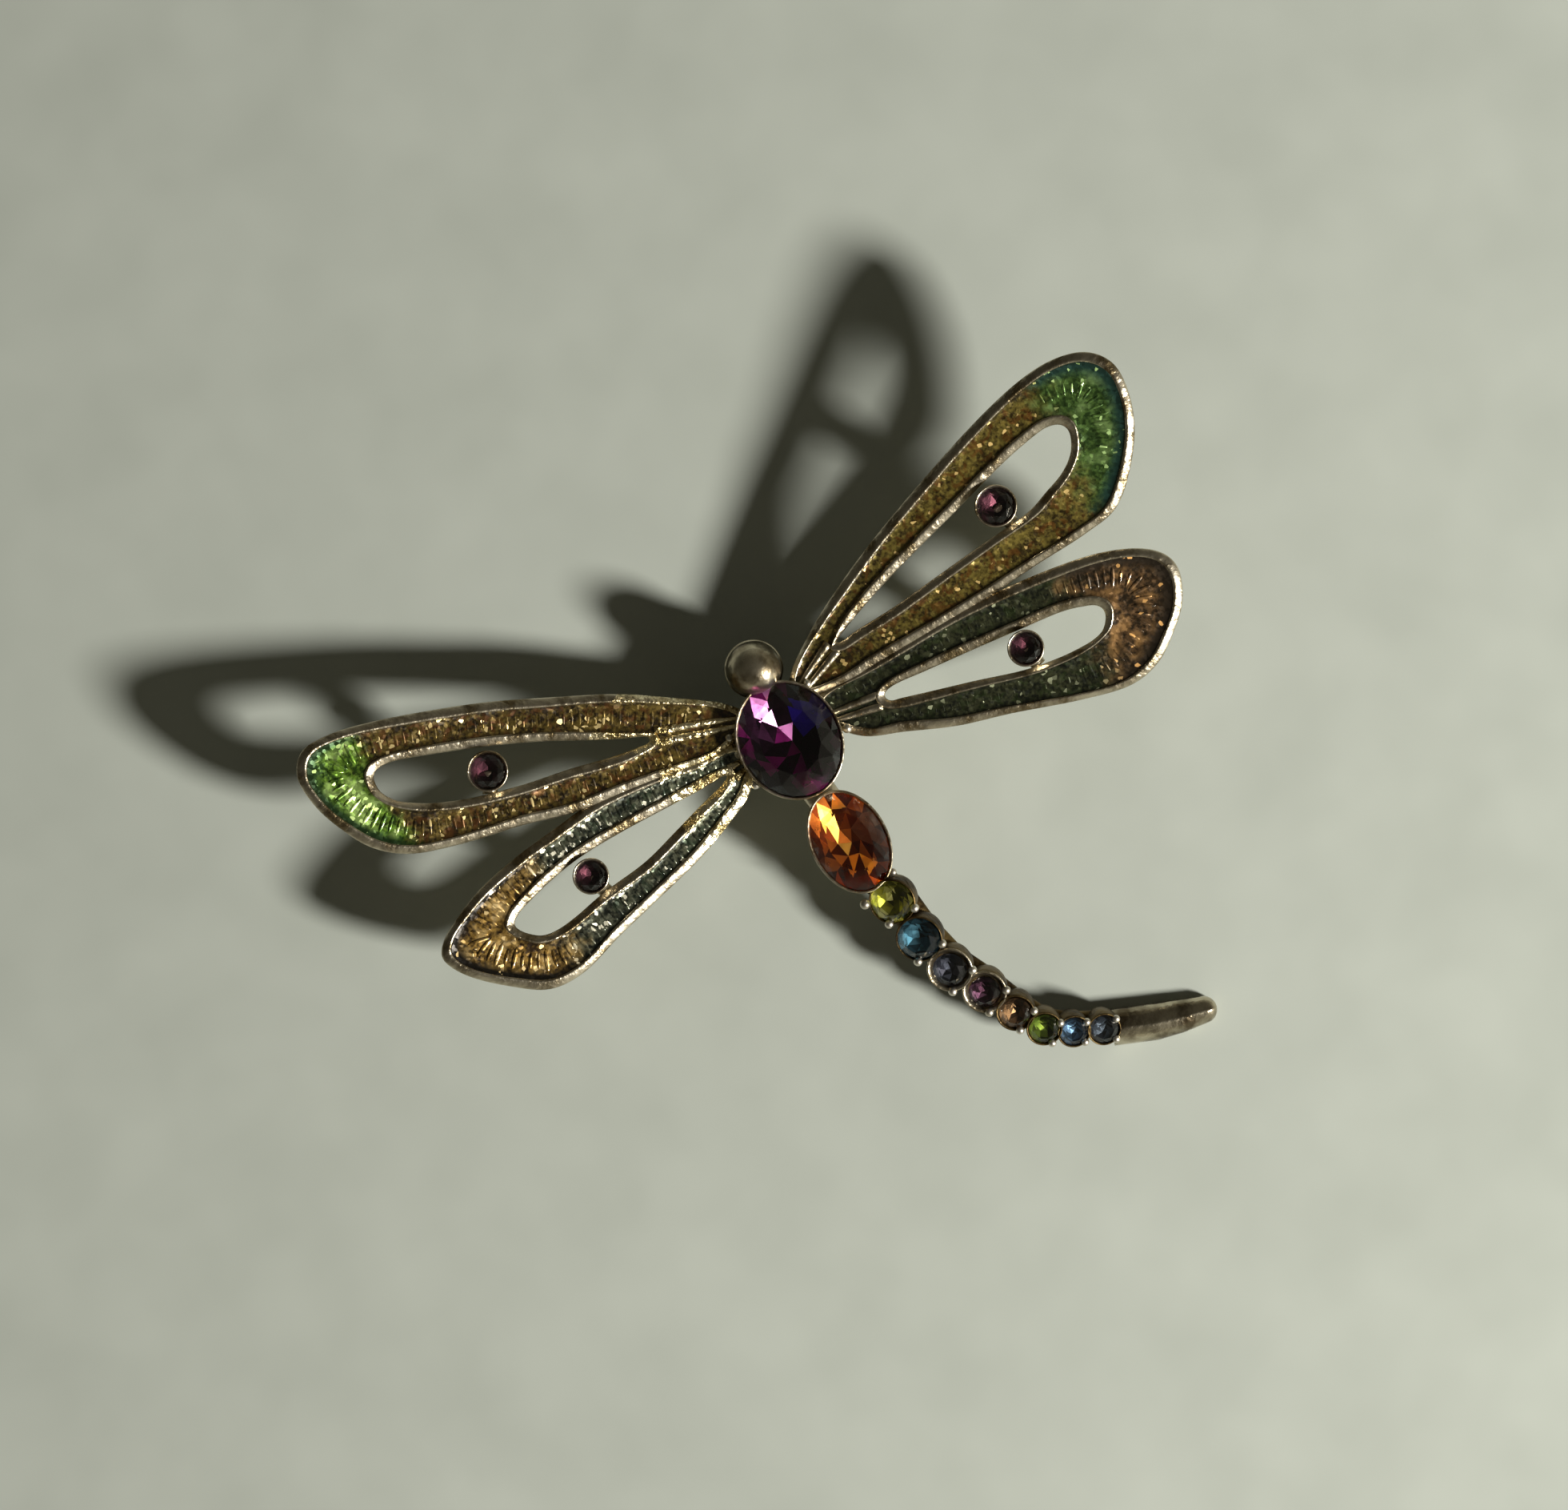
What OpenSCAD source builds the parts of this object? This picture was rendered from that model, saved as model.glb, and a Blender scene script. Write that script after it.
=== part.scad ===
// Dragonfly brooch, lying face up on a table.
// Lengths are millimetres. +X runs along the right wings, +Y towards the head, +Z away from the table,
// and z = 0 is the table. The wings lift away from the table as they run out, and the tail comes down to it.

/* [Wings] */
// Height of the wings' upper edge beside the body
wing_root_top = 5.4; // [5.2:0.1:5.8]
// How far the right wings rise over their first 30 mm, at the level of the body stone's centre
right_rise = 4.4; // [3:0.1:5]
// Extra rise of the right wings for each millimetre towards the head
right_twist = 0.145; // [0.05:0.005:0.16]
// How far the left wings rise over their first 30 mm
left_rise = 2.6; // [2:0.1:4]
// Extra rise of the left wings for each millimetre towards the head
left_twist = 0.09; // [0.05:0.005:0.12]
// How much lower than the fore wings the hind wings lie where they meet
hind_drop = 0.14; // [0.12:0.01:0.2]
// Thickness of the wing casting
wing_depth = 1.45; // [1.2:0.05:1.8]
// Width of the half-round rim around a wing
outer_rim_w = 0.88; // [0.7:0.02:0.9]
// Width of the rim around a wing's opening
inner_rim_w = 0.84; // [0.6:0.02:0.86]
// Depth of the sunk channel between the rims
channel_depth = 0.6; // [0.5:0.05:0.8]
// Thickness of the enamel in the channel
enamel_t = 0.3; // [0.2:0.05:0.4]
// Spline steps between two rows of a wing's table
wing_steps = 3; // [2:1:4]

/* [Body] */
// Thorax cup's width and length
thorax_cup = [7.6, 8.9]; // [6:0.1:10]
// Abdomen cup's width and length
abdomen_cup = [5.65, 7.9]; // [4:0.1:8]
// Wall of the two oval cups above the stone's seat
oval_wall = 0.3; // [0.25:0.05:0.4]
// Radius of the domed head
head_r = 2; // [1.9:0.05:2.1]
// Radius of the flange under the head
head_flange_r = 2.15; // [2.1:0.05:2.4]

/* [Stones] */
// Gap between a stone and its cup
stone_gap = 0.04; // [0.02:0.01:0.06]
// Wall of a round stone's cup
round_wall = 0.2; // [0.15:0.05:0.25]
// Crown height as a share of a stone's smaller radius
crown_share = 0.36; // [0.35:0.01:0.5]
// Depth below the girdle as a share of a stone's smaller radius
pavilion_share = 0.75; // [0.6:0.01:0.8]
// How far the tail stones lean towards the wearer's side of the tail, in degrees
tail_roll = 20; // [10:1:24]

/* [Pin back] */
// Length of the strip under the fore wings' roots
strip_l = 15.4; // [14:0.1:16]
// Width of the strip
strip_w = 3; // [2.6:0.1:3.2]
// Thickness of the strip
strip_t = 0.7; // [0.6:0.1:0.9]
// Diameter of the pin
pin_d = 0.8; // [0.7:0.1:0.9]

/* [Hidden] */
WING_NAMES = ["right_fore", "right_hind", "left_fore", "left_hind"];

// Rows run from the root out along the leading edge, round the tip and back along the trailing edge.
// Columns: outer edge x, outer edge y, opening's edge x, opening's edge y
RIGHT_FORE = [
    [1.6, 2.6, 6.2, 4.75],
    [2.2, 4.3, 6.6, 5.0],
    [5.0, 6.4, 7.5, 5.4],
    [8.0, 8.1, 9.5, 6.2],
    [12.0, 10.0, 13.0, 7.4],
    [17.0, 12.0, 18.0, 8.9],
    [22.0, 13.8, 22.5, 10.3],
    [26.0, 14.9, 25.5, 11.0],
    [29.0, 15.2, 26.8, 11.1],
    [31.5, 14.6, 27.6, 10.8],
    [32.9, 13.0, 27.9, 10.2],
    [33.0, 10.8, 27.7, 9.4],
    [32.2, 8.2, 27.1, 8.5],
    [30.5, 5.7, 26.0, 7.7],
    [28.3, 3.7, 24.5, 7.1],
    [25.5, 3.1, 22.5, 6.4],
    [21.5, 2.8, 19.0, 6.0],
    [17.0, 2.4, 15.0, 5.5],
    [12.0, 2.1, 11.0, 5.0],
    [8.0, 1.95, 8.0, 4.8],
    [5.0, 1.8, 6.6, 4.6],
];
RIGHT_HIND = [
    [2.6, 0.2, 7.4, -0.5],
    [2.9, 1.9, 7.6, -0.1],
    [6.5, 2.2, 8.6, 0.05],
    [10.0, 2.45, 11.0, -0.15],
    [14.0, 2.65, 14.5, -0.4],
    [17.5, 2.5, 18.0, -0.7],
    [22.0, 2.1, 21.3, -1.0],
    [25.5, 1.5, 23.2, -1.5],
    [28.2, 0.5, 23.9, -1.9],
    [29.8, -0.8, 24.1, -2.4],
    [30.2, -2.4, 23.9, -3.0],
    [29.4, -4.4, 23.3, -3.6],
    [27.9, -6.0, 22.4, -3.85],
    [25.8, -7.5, 21.2, -3.9],
    [23.2, -8.0, 19.5, -3.8],
    [19.5, -7.2, 17.0, -3.4],
    [15.0, -5.8, 13.5, -2.4],
    [11.0, -4.7, 10.5, -1.6],
    [7.5, -3.3, 8.5, -1.05],
    [4.6, -2.1, 7.7, -0.85],
];
LEFT_FORE = [
    [-2.0, 2.8, -9.0, 5.0],
    [-3.0, 4.6, -9.3, 5.3],
    [-6.0, 6.7, -10.8, 5.95],
    [-9.5, 8.9, -13.0, 7.0],
    [-13.5, 10.8, -16.0, 8.5],
    [-18.0, 12.8, -19.5, 10.0],
    [-22.5, 14.4, -22.8, 11.2],
    [-26.5, 15.6, -25.5, 12.1],
    [-29.3, 16.1, -26.9, 12.3],
    [-31.4, 15.9, -27.6, 12.0],
    [-32.5, 14.4, -27.8, 11.4],
    [-32.4, 12.2, -27.7, 10.6],
    [-31.6, 9.9, -27.1, 9.7],
    [-30.2, 7.5, -26.0, 8.9],
    [-28.0, 5.8, -24.5, 8.1],
    [-24.5, 4.7, -22.0, 7.2],
    [-20.0, 3.8, -18.5, 6.35],
    [-16.5, 2.9, -15.0, 5.75],
    [-12.0, 2.3, -12.0, 5.1],
    [-8.0, 1.85, -10.0, 4.8],
    [-4.6, 1.65, -9.2, 4.75],
];
LEFT_HIND = [
    [-3.0, 0.2, -5.4, -0.1],
    [-3.6, 1.75, -5.7, 0.1],
    [-7.0, 2.15, -7.5, 0.0],
    [-10.5, 2.7, -10.5, 0.0],
    [-14.5, 2.9, -14.0, 0.0],
    [-18.0, 2.5, -17.5, -0.2],
    [-21.5, 2.0, -20.3, -0.75],
    [-24.8, 1.2, -22.5, -1.4],
    [-27.3, 0.1, -23.4, -1.8],
    [-28.9, -0.9, -23.8, -2.2],
    [-29.5, -2.1, -23.7, -2.7],
    [-28.5, -3.9, -23.2, -3.3],
    [-26.3, -5.9, -22.4, -3.85],
    [-23.8, -7.5, -21.3, -4.0],
    [-21.0, -7.6, -19.7, -3.8],
    [-17.5, -6.5, -17.0, -3.2],
    [-13.5, -5.4, -13.5, -2.7],
    [-10.0, -4.4, -10.5, -1.8],
    [-7.0, -3.2, -8.0, -1.0],
    [-4.5, -1.9, -6.2, -0.5],
];
WINGS = [RIGHT_FORE, RIGHT_HIND, LEFT_FORE, LEFT_HIND];

// Columns: centre x, centre y, stone radius, stem's foot x, stem's foot y
WING_STONES = [
    [20.8, 7.9, 1.3, 21.3, 6.25],
    [17.9, -2.1, 1.1, 18.2, -3.6],
    [-20.3, 8.4, 1.25, -20.9, 6.9],
    [-17.35, -1.75, 1.08, -16.9, -3.25],
];

// Columns: centre x, centre y, top of the cup's rim, stone radius
TAIL = [
    [0.85, -13.6, 5.6, 1.48],
    [1.3, -16.9, 5.1, 1.48],
    [2.2, -19.9, 4.6, 1.44],
    [3.65, -22.5, 4.15, 1.38],
    [4.9, -24.9, 3.7, 1.18],
    [6.2, -26.9, 3.3, 1.08],
    [8.0, -28.1, 2.9, 1.0],
    [10.0, -29.0, 2.6, 1.0],
];
TAIL_TINTS = ["olivedrab", "steelblue", "midnightblue", "indigo", "saddlebrown", "green", "royalblue", "navy"];
// Columns of the tail tip's sections: centre x, centre y, width across, height
TAIL_TIP = [
    [10.9, -29.3, 2.9, 2.2],
    [13.5, -30.3, 2.8, 2.0],
    [15.3, -30.8, 2.5, 1.8],
    [17.0, -31.2, 2.1, 1.6],
];

thorax_at = [-0.15, 0.12];
abdomen_at = [0.2, -8.37];
head_at = [0, 5.85];
thorax_rim = 6.6;
abdomen_rim = 5.9;
body_under = 3.7;
abdomen_under = 3.2;
pin_y = 2.2;
pin_z = 1.3;
oval_sides = 36;
round_sides = 20;
ball_sides = 12;
head_sides = 28;
// A wing's section: how far its edges lean in, where they are widest, how they round over, and the rims' crests
edge_draft = 0.14;
edge_belly = 0.6;
edge_round = 0.13;
rim_crest = 0.6;
// The enamel's gap under it and beside it, and how much its middle stands above its edges
enamel_lift = 0.02;
enamel_side = 0.06;
enamel_crown = 0.06;
tail_depth = 2.1;
wing_cup_h = 1.9;
wing_stone_lift = 0.25;
rim_above_girdle = 0.12;
seat_floor_gap = 0.1;
// Height of the cuts that open the cups, more than any cup needs
seat_cut_h = 6;
thorax_seat = 2.2;
abdomen_seat = 1.7;
table_share = 0.6;
// Radius and height of the points where star facets and girdle facets meet
star_share = 0.84;
star_height = 0.5;
girdle_t = 0.1;
bridge_r = 1.3;
// Bridge between the two oval cups; columns: distance from the cup's middle, height
thorax_bridge = [-3, 1.6];
abdomen_bridge = [2.4, 1.8];
bridge_sides = 16;
link_share = 0.8;
link_t = 0.9;
head_dome_z = 5.8;
head_flange_t = 0.6;
stem_w = 1.1;
stem_drop = 1.35;
hinge_l = 2.6;
catch_l = 1.8;
catch_slot = 1.2;
solder_gap = 0.03;
pin_l = 14.2;
pin_point_l = 1.2;

wing_loops = [for (w = WINGS) closed_spline(w, wing_steps)];
edge_x = [for (w = wing_loops) for (p = w) p.x];
edge_y = [for (w = wing_loops) for (p = w) p.y];
tail_end = TAIL_TIP[len(TAIL_TIP) - 1];
// The origin is put under the middle of the whole brooch's outline
middle = [(max(edge_x) + min(edge_x)) / 2, (max(edge_y) + tail_end.y - tail_end[2] / 2) / 2, 0];

// Point of a closed spline between rows b and c of a table, for every column at once
function blend(a, b, c, d, t) =
    0.5 * (2 * b + (c - a) * t + (2 * a - 5 * b + 4 * c - d) * t * t + (3 * b - a - 3 * c + d) * t * t * t);
function closed_spline(rows, steps) = let (n = len(rows)) [
    for (i = [0 : n - 1]) for (k = [0 : steps - 1])
        blend(rows[(i + n - 1) % n], rows[i], rows[(i + 1) % n], rows[(i + 2) % n], k / steps)
];
// Height of the wings' upper side over a place
function wing_top(x, y) = let (
    out = max(0, abs(x) - 3) / 30,
    rise = x > 0 ? right_rise + right_twist * y : left_rise + left_twist * y
) wing_root_top + rise * pow(out, 1.15);

// One wing section across the rims; columns: distance from the outer edge, drop below the top
function rim_section(w) = [
    [w - edge_draft, -wing_depth],
    [w, -edge_belly],
    [w - edge_draft, -edge_round],
    [w - inner_rim_w * rim_crest, 0],
    [w - inner_rim_w, -channel_depth],
    [outer_rim_w, -channel_depth],
    [outer_rim_w * rim_crest, 0],
    [edge_draft, -edge_round],
    [0, -edge_belly],
    [edge_draft, -wing_depth],
];
function enamel_section(w) = let (
    low = -channel_depth + enamel_lift,
    high = low + enamel_t
) [
    [outer_rim_w + enamel_side, low],
    [w - inner_rim_w - enamel_side, low],
    [w - inner_rim_w - enamel_side, high],
    [w / 2, high + enamel_crown],
    [outer_rim_w + enamel_side, high],
];
// A section stood across the wing at one row, from its outer edge to its opening
function placed(row, section_points, drop) = let (
    outer = [row[0], row[1]],
    inner = [row[2], row[3]],
    across = (inner - outer) / norm(inner - outer)
) [for (s = section_points) let (p = outer + across * s[0]) [p.x, p.y, wing_top(p.x, p.y) - drop + s[1]]];
// Hind wings are the odd ones of the list
function drop_of(i) = i % 2 == 0 ? 0 : hind_drop;
function row_width(row) = norm([row[2] - row[0], row[3] - row[1]]);

// Skin over rings of equal size; a closed skin joins its last ring to its first
module skin(rings, closed) {
    n = len(rings);
    m = len(rings[0]);
    last = closed ? n - 1 : n - 2;
    sides = [for (i = [0 : last]) for (j = [0 : m - 1]) let (
        a = i * m + j,
        b = i * m + (j + 1) % m,
        c = ((i + 1) % n) * m + (j + 1) % m,
        d = ((i + 1) % n) * m + j
    ) each [[a, b, c], [a, c, d]]];
    ends = closed ? [] : [[for (j = [m - 1 : -1 : 0]) j], [for (j = [0 : m - 1]) (n - 1) * m + j]];
    polyhedron(points = [for (r = rings) each r], faces = concat(sides, ends));
}

// Left wings run the other way round, so their rows are taken backwards
function turned(rows, i) = i < 2 ? rows : [for (k = [len(rows) - 1 : -1 : 0]) rows[k]];

module wing(i) {
    rows = turned(wing_loops[i], i);
    skin([for (r = rows) placed(r, rim_section(row_width(r)), drop_of(i))], true);
}
module enamel(i) {
    rows = wing_loops[i];
    open_rows = [for (k = [wing_steps : len(rows) - wing_steps]) rows[k]];
    color(i < 2 ? "darkolivegreen" : "olive")
        skin([for (r = turned(open_rows, i)) placed(r, enamel_section(row_width(r)), drop_of(i))], false);
}

module oval(size, z, h) {
    translate([0, 0, z]) linear_extrude(h) polygon([
        for (k = [0 : oval_sides - 1]) let (a = 360 * (k + 0.5) / oval_sides)
            [size.x / 2 * cos(a), size.y / 2 * sin(a)]
    ]);
}

// Cut stone with its girdle at z = 0: table, star facets, kites, girdle facets and a pointed back
module cut_stone(rx, ry, facets, depth) {
    n = facets;
    low = min(rx, ry);
    crown = crown_share * low;
    ring = function (share, z, count, turn) [
        for (k = [0 : count - 1]) let (a = 360 * (k + turn) / count) [rx * share * cos(a), ry * share * sin(a), z]
    ];
    points = concat(ring(table_share, crown, n, 0.5), ring(star_share, crown * star_height, n, 0), ring(1, 0, 2 * n, 0),
        ring(1, -girdle_t, 2 * n, 0), [[0, 0, -depth]]);
    top = [for (k = [n - 1 : -1 : 0]) k];
    crown_faces = [for (k = [0 : n - 1]) let (b = (k + 1) % n) each [
        [n + k, k, n + b],
        [k, b, n + b],
        [n + k, n + b, 2 * n + 2 * k + 1],
        [n + k, 2 * n + 2 * k + 1, 2 * n + 2 * k],
        [n + b, 2 * n + (2 * k + 2) % (2 * n), 2 * n + 2 * k + 1]
    ]];
    back_faces = [for (k = [0 : 2 * n - 1]) let (b = (k + 1) % (2 * n)) each [
        [2 * n + k, 2 * n + b, 4 * n + b, 4 * n + k],
        [4 * n + k, 4 * n + b, 6 * n]
    ]];
    polyhedron(points = points, faces = concat([top], crown_faces, back_faces));
}

function tail_step(i) = let (a = TAIL[max(i - 1, 0)], b = TAIL[min(i + 1, len(TAIL) - 1)]) b - a;
// Stands its children on a tail stone's seat, leaning down the tail and over to its side
module on_tail(i) {
    step = tail_step(i);
    pitch = atan2(-step[2], norm([step.x, step.y]));
    translate([TAIL[i].x, TAIL[i].y, TAIL[i][2]])
        rotate([tail_roll, pitch, atan2(step.y, step.x)]) children();
}
module on_wing(i) {
    stone = WING_STONES[i];
    translate([stone.x, stone.y, wing_top(stone.x, stone.y) + wing_stone_lift]) children();
}
function seat_r(stone_r) = (stone_r + stone_gap) / cos(180 / round_sides);
function seat_depth(stone_r) = pavilion_share * stone_r + seat_floor_gap;

module round_cup(stone_r, h) {
    translate([0, 0, rim_above_girdle - h]) cylinder(r = seat_r(stone_r) + round_wall, h = h, $fn = round_sides);
}
module round_seat(stone_r) {
    translate([0, 0, -seat_depth(stone_r)]) cylinder(r = seat_r(stone_r), h = seat_cut_h, $fn = round_sides);
}
module ball(place, width, height) {
    full = 1 / cos(180 / ball_sides);
    translate([place.x, place.y, place.z + height / 2])
        scale([1, 1, height / width]) sphere(d = width * full, $fn = ball_sides);
}
module head() {
    translate([head_at.x, head_at.y, body_under]) {
        cylinder(r = head_flange_r, h = head_flange_t, $fn = head_sides);
        cylinder(r = head_r, h = head_dome_z - body_under, $fn = head_sides);
    }
    translate([head_at.x, head_at.y, head_dome_z]) sphere(r = head_r, $fn = head_sides);
}
module wing_stone_cup(i) {
    stone = WING_STONES[i];
    on_wing(i) round_cup(stone[2], wing_cup_h);
    foot = [stone[3], stone[4]];
    hull() {
        ball([stone.x, stone.y, wing_top(stone.x, stone.y) - stem_drop], stem_w, stem_w);
        ball([foot.x, foot.y, wing_top(foot.x, foot.y) - stem_drop], stem_w, stem_w);
    }
}
module tail_link(i) {
    hull() for (k = [i, i + 1]) on_tail(k)
        translate([0, 0, -tail_depth]) cylinder(r = TAIL[k][3] * link_share, h = link_t, $fn = ball_sides);
}
module body_metal() {
    translate(thorax_at) oval(thorax_cup, body_under, thorax_rim - body_under);
    translate(abdomen_at) oval(abdomen_cup, abdomen_under, abdomen_rim - abdomen_under);
    hull() {
        translate([thorax_at.x, thorax_at.y + thorax_bridge[0], body_under])
            cylinder(r = bridge_r, h = thorax_bridge[1], $fn = bridge_sides);
        translate([abdomen_at.x, abdomen_at.y + abdomen_bridge[0], abdomen_under])
            cylinder(r = bridge_r, h = abdomen_bridge[1], $fn = bridge_sides);
    }
    head();
    for (i = [0 : len(TAIL) - 1]) on_tail(i) round_cup(TAIL[i][3], tail_depth);
    for (i = [0 : len(TAIL) - 2]) tail_link(i);
    hull() for (t = TAIL_TIP) ball([t.x, t.y, 0], t[2], t[3]);
}
module seats() {
    translate(thorax_at) oval(thorax_cup - [2, 2] * oval_wall, thorax_rim - rim_above_girdle - thorax_seat, seat_cut_h);
    translate(abdomen_at) oval(abdomen_cup - [2, 2] * oval_wall, abdomen_rim - rim_above_girdle - abdomen_seat, seat_cut_h);
    for (i = [0 : len(TAIL) - 1]) on_tail(i) round_seat(TAIL[i][3]);
    for (i = [0 : 3]) on_wing(i) round_seat(WING_STONES[i][2]);
}

module cast_frame() {
    color("silver") difference() {
        union() {
            for (i = [0 : 3]) wing(i);
            for (i = [0 : 3]) wing_stone_cup(i);
            body_metal();
        }
        seats();
    }
}
module oval_stone(cup, at, rim, depth, tint) {
    size = (cup - [2, 2] * oval_wall) / 2 * cos(180 / oval_sides) - [1, 1] * stone_gap;
    color(tint) translate([at.x, at.y, rim - rim_above_girdle]) cut_stone(size.x, size.y, 12, depth);
}
module thorax_stone() {
    oval_stone(thorax_cup, thorax_at, thorax_rim, thorax_seat - seat_floor_gap, "indigo");
}
module abdomen_stone() {
    oval_stone(abdomen_cup, abdomen_at, abdomen_rim, abdomen_seat - seat_floor_gap, "darkorange");
}
module wing_stone(i) {
    r = WING_STONES[i][2];
    color("purple") on_wing(i) cut_stone(r, r, 8, pavilion_share * r);
}
module tail_stone(i) {
    r = TAIL[i][3];
    color(TAIL_TINTS[i]) on_tail(i) cut_stone(r, r, 8, pavilion_share * r);
}
module pin_back() {
    top = body_under - solder_gap;
    hinge_x = -strip_l / 2 + hinge_l / 2;
    catch_x = strip_l / 2 - catch_l / 2;
    color("gainsboro") translate([0, pin_y, 0]) {
        translate([-strip_l / 2, -strip_w / 2, top - strip_t]) cube([strip_l, strip_w, strip_t]);
        translate([hinge_x - hinge_l / 2, -strip_w / 2, 0]) cube([hinge_l, strip_w, top - strip_t / 2]);
        difference() {
            translate([catch_x - catch_l / 2, -strip_w / 2, 0]) cube([catch_l, strip_w, top - strip_t / 2]);
            translate([catch_x - catch_l, -strip_w, pin_z - catch_slot / 2])
                cube([2 * catch_l, strip_w + catch_slot / 2, catch_slot]);
        }
        translate([hinge_x, 0, pin_z]) rotate([0, 90, 0]) {
            cylinder(d = pin_d, h = pin_l, $fn = 24);
            translate([0, 0, pin_l]) cylinder(d1 = pin_d, d2 = pin_d / 4, h = pin_point_l, $fn = 24);
        }
    }
}

// Moves a piece from the thorax's own origin to the brooch's
module placed_node() {
    translate(-middle) children();
}

placed_node() cast_frame();
placed_node() pin_back();
placed_node() thorax_stone();
placed_node() abdomen_stone();
for (i = [0 : 3]) {
    placed_node() enamel(i);
    placed_node() wing_stone(i);
}
for (i = [0 : len(TAIL) - 1])
    placed_node() tail_stone(i);
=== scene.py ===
"""Dragonfly brooch: plated casting, fired enamel over cross ribs, foiled glass stones in cups.

Lengths in the tables are millimetres, counted from the middle of the thorax stone: +X to the right wings,
+Y to the head, +Z up from the table. MIDDLE moves them to the brooch's own frame.
"""
import math
import random

import bmesh
import bpy
from mathutils import Matrix, Vector


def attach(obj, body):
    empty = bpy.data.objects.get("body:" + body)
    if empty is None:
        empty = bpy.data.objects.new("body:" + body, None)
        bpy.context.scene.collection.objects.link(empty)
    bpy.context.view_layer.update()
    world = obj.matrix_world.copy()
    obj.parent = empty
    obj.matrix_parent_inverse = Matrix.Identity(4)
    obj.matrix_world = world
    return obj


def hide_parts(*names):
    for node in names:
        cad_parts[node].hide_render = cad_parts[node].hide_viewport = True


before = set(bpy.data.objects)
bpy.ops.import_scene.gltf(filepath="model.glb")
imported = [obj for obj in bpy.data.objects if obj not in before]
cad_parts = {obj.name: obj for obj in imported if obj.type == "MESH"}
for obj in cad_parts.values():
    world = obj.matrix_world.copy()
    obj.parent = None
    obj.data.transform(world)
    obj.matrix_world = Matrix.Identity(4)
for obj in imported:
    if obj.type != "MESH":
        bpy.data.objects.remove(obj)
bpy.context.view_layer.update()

MM = 0.001
UP = Vector((0, 0, 1))
MIDDLE = Vector((0.25, -8.0583, 0.0))

# Wings: rows from the root out along the leading edge, round the tip and back
# Columns: outer edge x, outer edge y, opening's edge x, opening's edge y
WINGS = {
    "right_fore": [
        (1.6, 2.6, 6.2, 4.75), (2.2, 4.3, 6.6, 5.0), (5.0, 6.4, 7.5, 5.4), (8.0, 8.1, 9.5, 6.2),
        (12.0, 10.0, 13.0, 7.4), (17.0, 12.0, 18.0, 8.9), (22.0, 13.8, 22.5, 10.3),
        (26.0, 14.9, 25.5, 11.0), (29.0, 15.2, 26.8, 11.1), (31.5, 14.6, 27.6, 10.8),
        (32.9, 13.0, 27.9, 10.2), (33.0, 10.8, 27.7, 9.4), (32.2, 8.2, 27.1, 8.5), (30.5, 5.7, 26.0, 7.7),
        (28.3, 3.7, 24.5, 7.1), (25.5, 3.1, 22.5, 6.4), (21.5, 2.8, 19.0, 6.0), (17.0, 2.4, 15.0, 5.5),
        (12.0, 2.1, 11.0, 5.0), (8.0, 1.95, 8.0, 4.8), (5.0, 1.8, 6.6, 4.6),
    ],
    "right_hind": [
        (2.6, 0.2, 7.4, -0.5), (2.9, 1.9, 7.6, -0.1), (6.5, 2.2, 8.6, 0.05), (10.0, 2.45, 11.0, -0.15),
        (14.0, 2.65, 14.5, -0.4), (17.5, 2.5, 18.0, -0.7), (22.0, 2.1, 21.3, -1.0),
        (25.5, 1.5, 23.2, -1.5), (28.2, 0.5, 23.9, -1.9), (29.8, -0.8, 24.1, -2.4),
        (30.2, -2.4, 23.9, -3.0), (29.4, -4.4, 23.3, -3.6), (27.9, -6.0, 22.4, -3.85),
        (25.8, -7.5, 21.2, -3.9), (23.2, -8.0, 19.5, -3.8), (19.5, -7.2, 17.0, -3.4),
        (15.0, -5.8, 13.5, -2.4), (11.0, -4.7, 10.5, -1.6), (7.5, -3.3, 8.5, -1.05),
        (4.6, -2.1, 7.7, -0.85),
    ],
    "left_fore": [
        (-2.0, 2.8, -9.0, 5.0), (-3.0, 4.6, -9.3, 5.3), (-6.0, 6.7, -10.8, 5.95), (-9.5, 8.9, -13.0, 7.0),
        (-13.5, 10.8, -16.0, 8.5), (-18.0, 12.8, -19.5, 10.0), (-22.5, 14.4, -22.8, 11.2),
        (-26.5, 15.6, -25.5, 12.1), (-29.3, 16.1, -26.9, 12.3), (-31.4, 15.9, -27.6, 12.0),
        (-32.5, 14.4, -27.8, 11.4), (-32.4, 12.2, -27.7, 10.6), (-31.6, 9.9, -27.1, 9.7),
        (-30.2, 7.5, -26.0, 8.9), (-28.0, 5.8, -24.5, 8.1), (-24.5, 4.7, -22.0, 7.2),
        (-20.0, 3.8, -18.5, 6.35), (-16.5, 2.9, -15.0, 5.75), (-12.0, 2.3, -12.0, 5.1),
        (-8.0, 1.85, -10.0, 4.8), (-4.6, 1.65, -9.2, 4.75),
    ],
    "left_hind": [
        (-3.0, 0.2, -5.4, -0.1), (-3.6, 1.75, -5.7, 0.1), (-7.0, 2.15, -7.5, 0.0),
        (-10.5, 2.7, -10.5, 0.0), (-14.5, 2.9, -14.0, 0.0), (-18.0, 2.5, -17.5, -0.2),
        (-21.5, 2.0, -20.3, -0.75), (-24.8, 1.2, -22.5, -1.4), (-27.3, 0.1, -23.4, -1.8),
        (-28.9, -0.9, -23.8, -2.2), (-29.5, -2.1, -23.7, -2.7), (-28.5, -3.9, -23.2, -3.3),
        (-26.3, -5.9, -22.4, -3.85), (-23.8, -7.5, -21.3, -4.0), (-21.0, -7.6, -19.7, -3.8),
        (-17.5, -6.5, -17.0, -3.2), (-13.5, -5.4, -13.5, -2.7), (-10.0, -4.4, -10.5, -1.8),
        (-7.0, -3.2, -8.0, -1.0), (-4.5, -1.9, -6.2, -0.5),
    ],
}
HIND_DROP = 0.14
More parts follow.
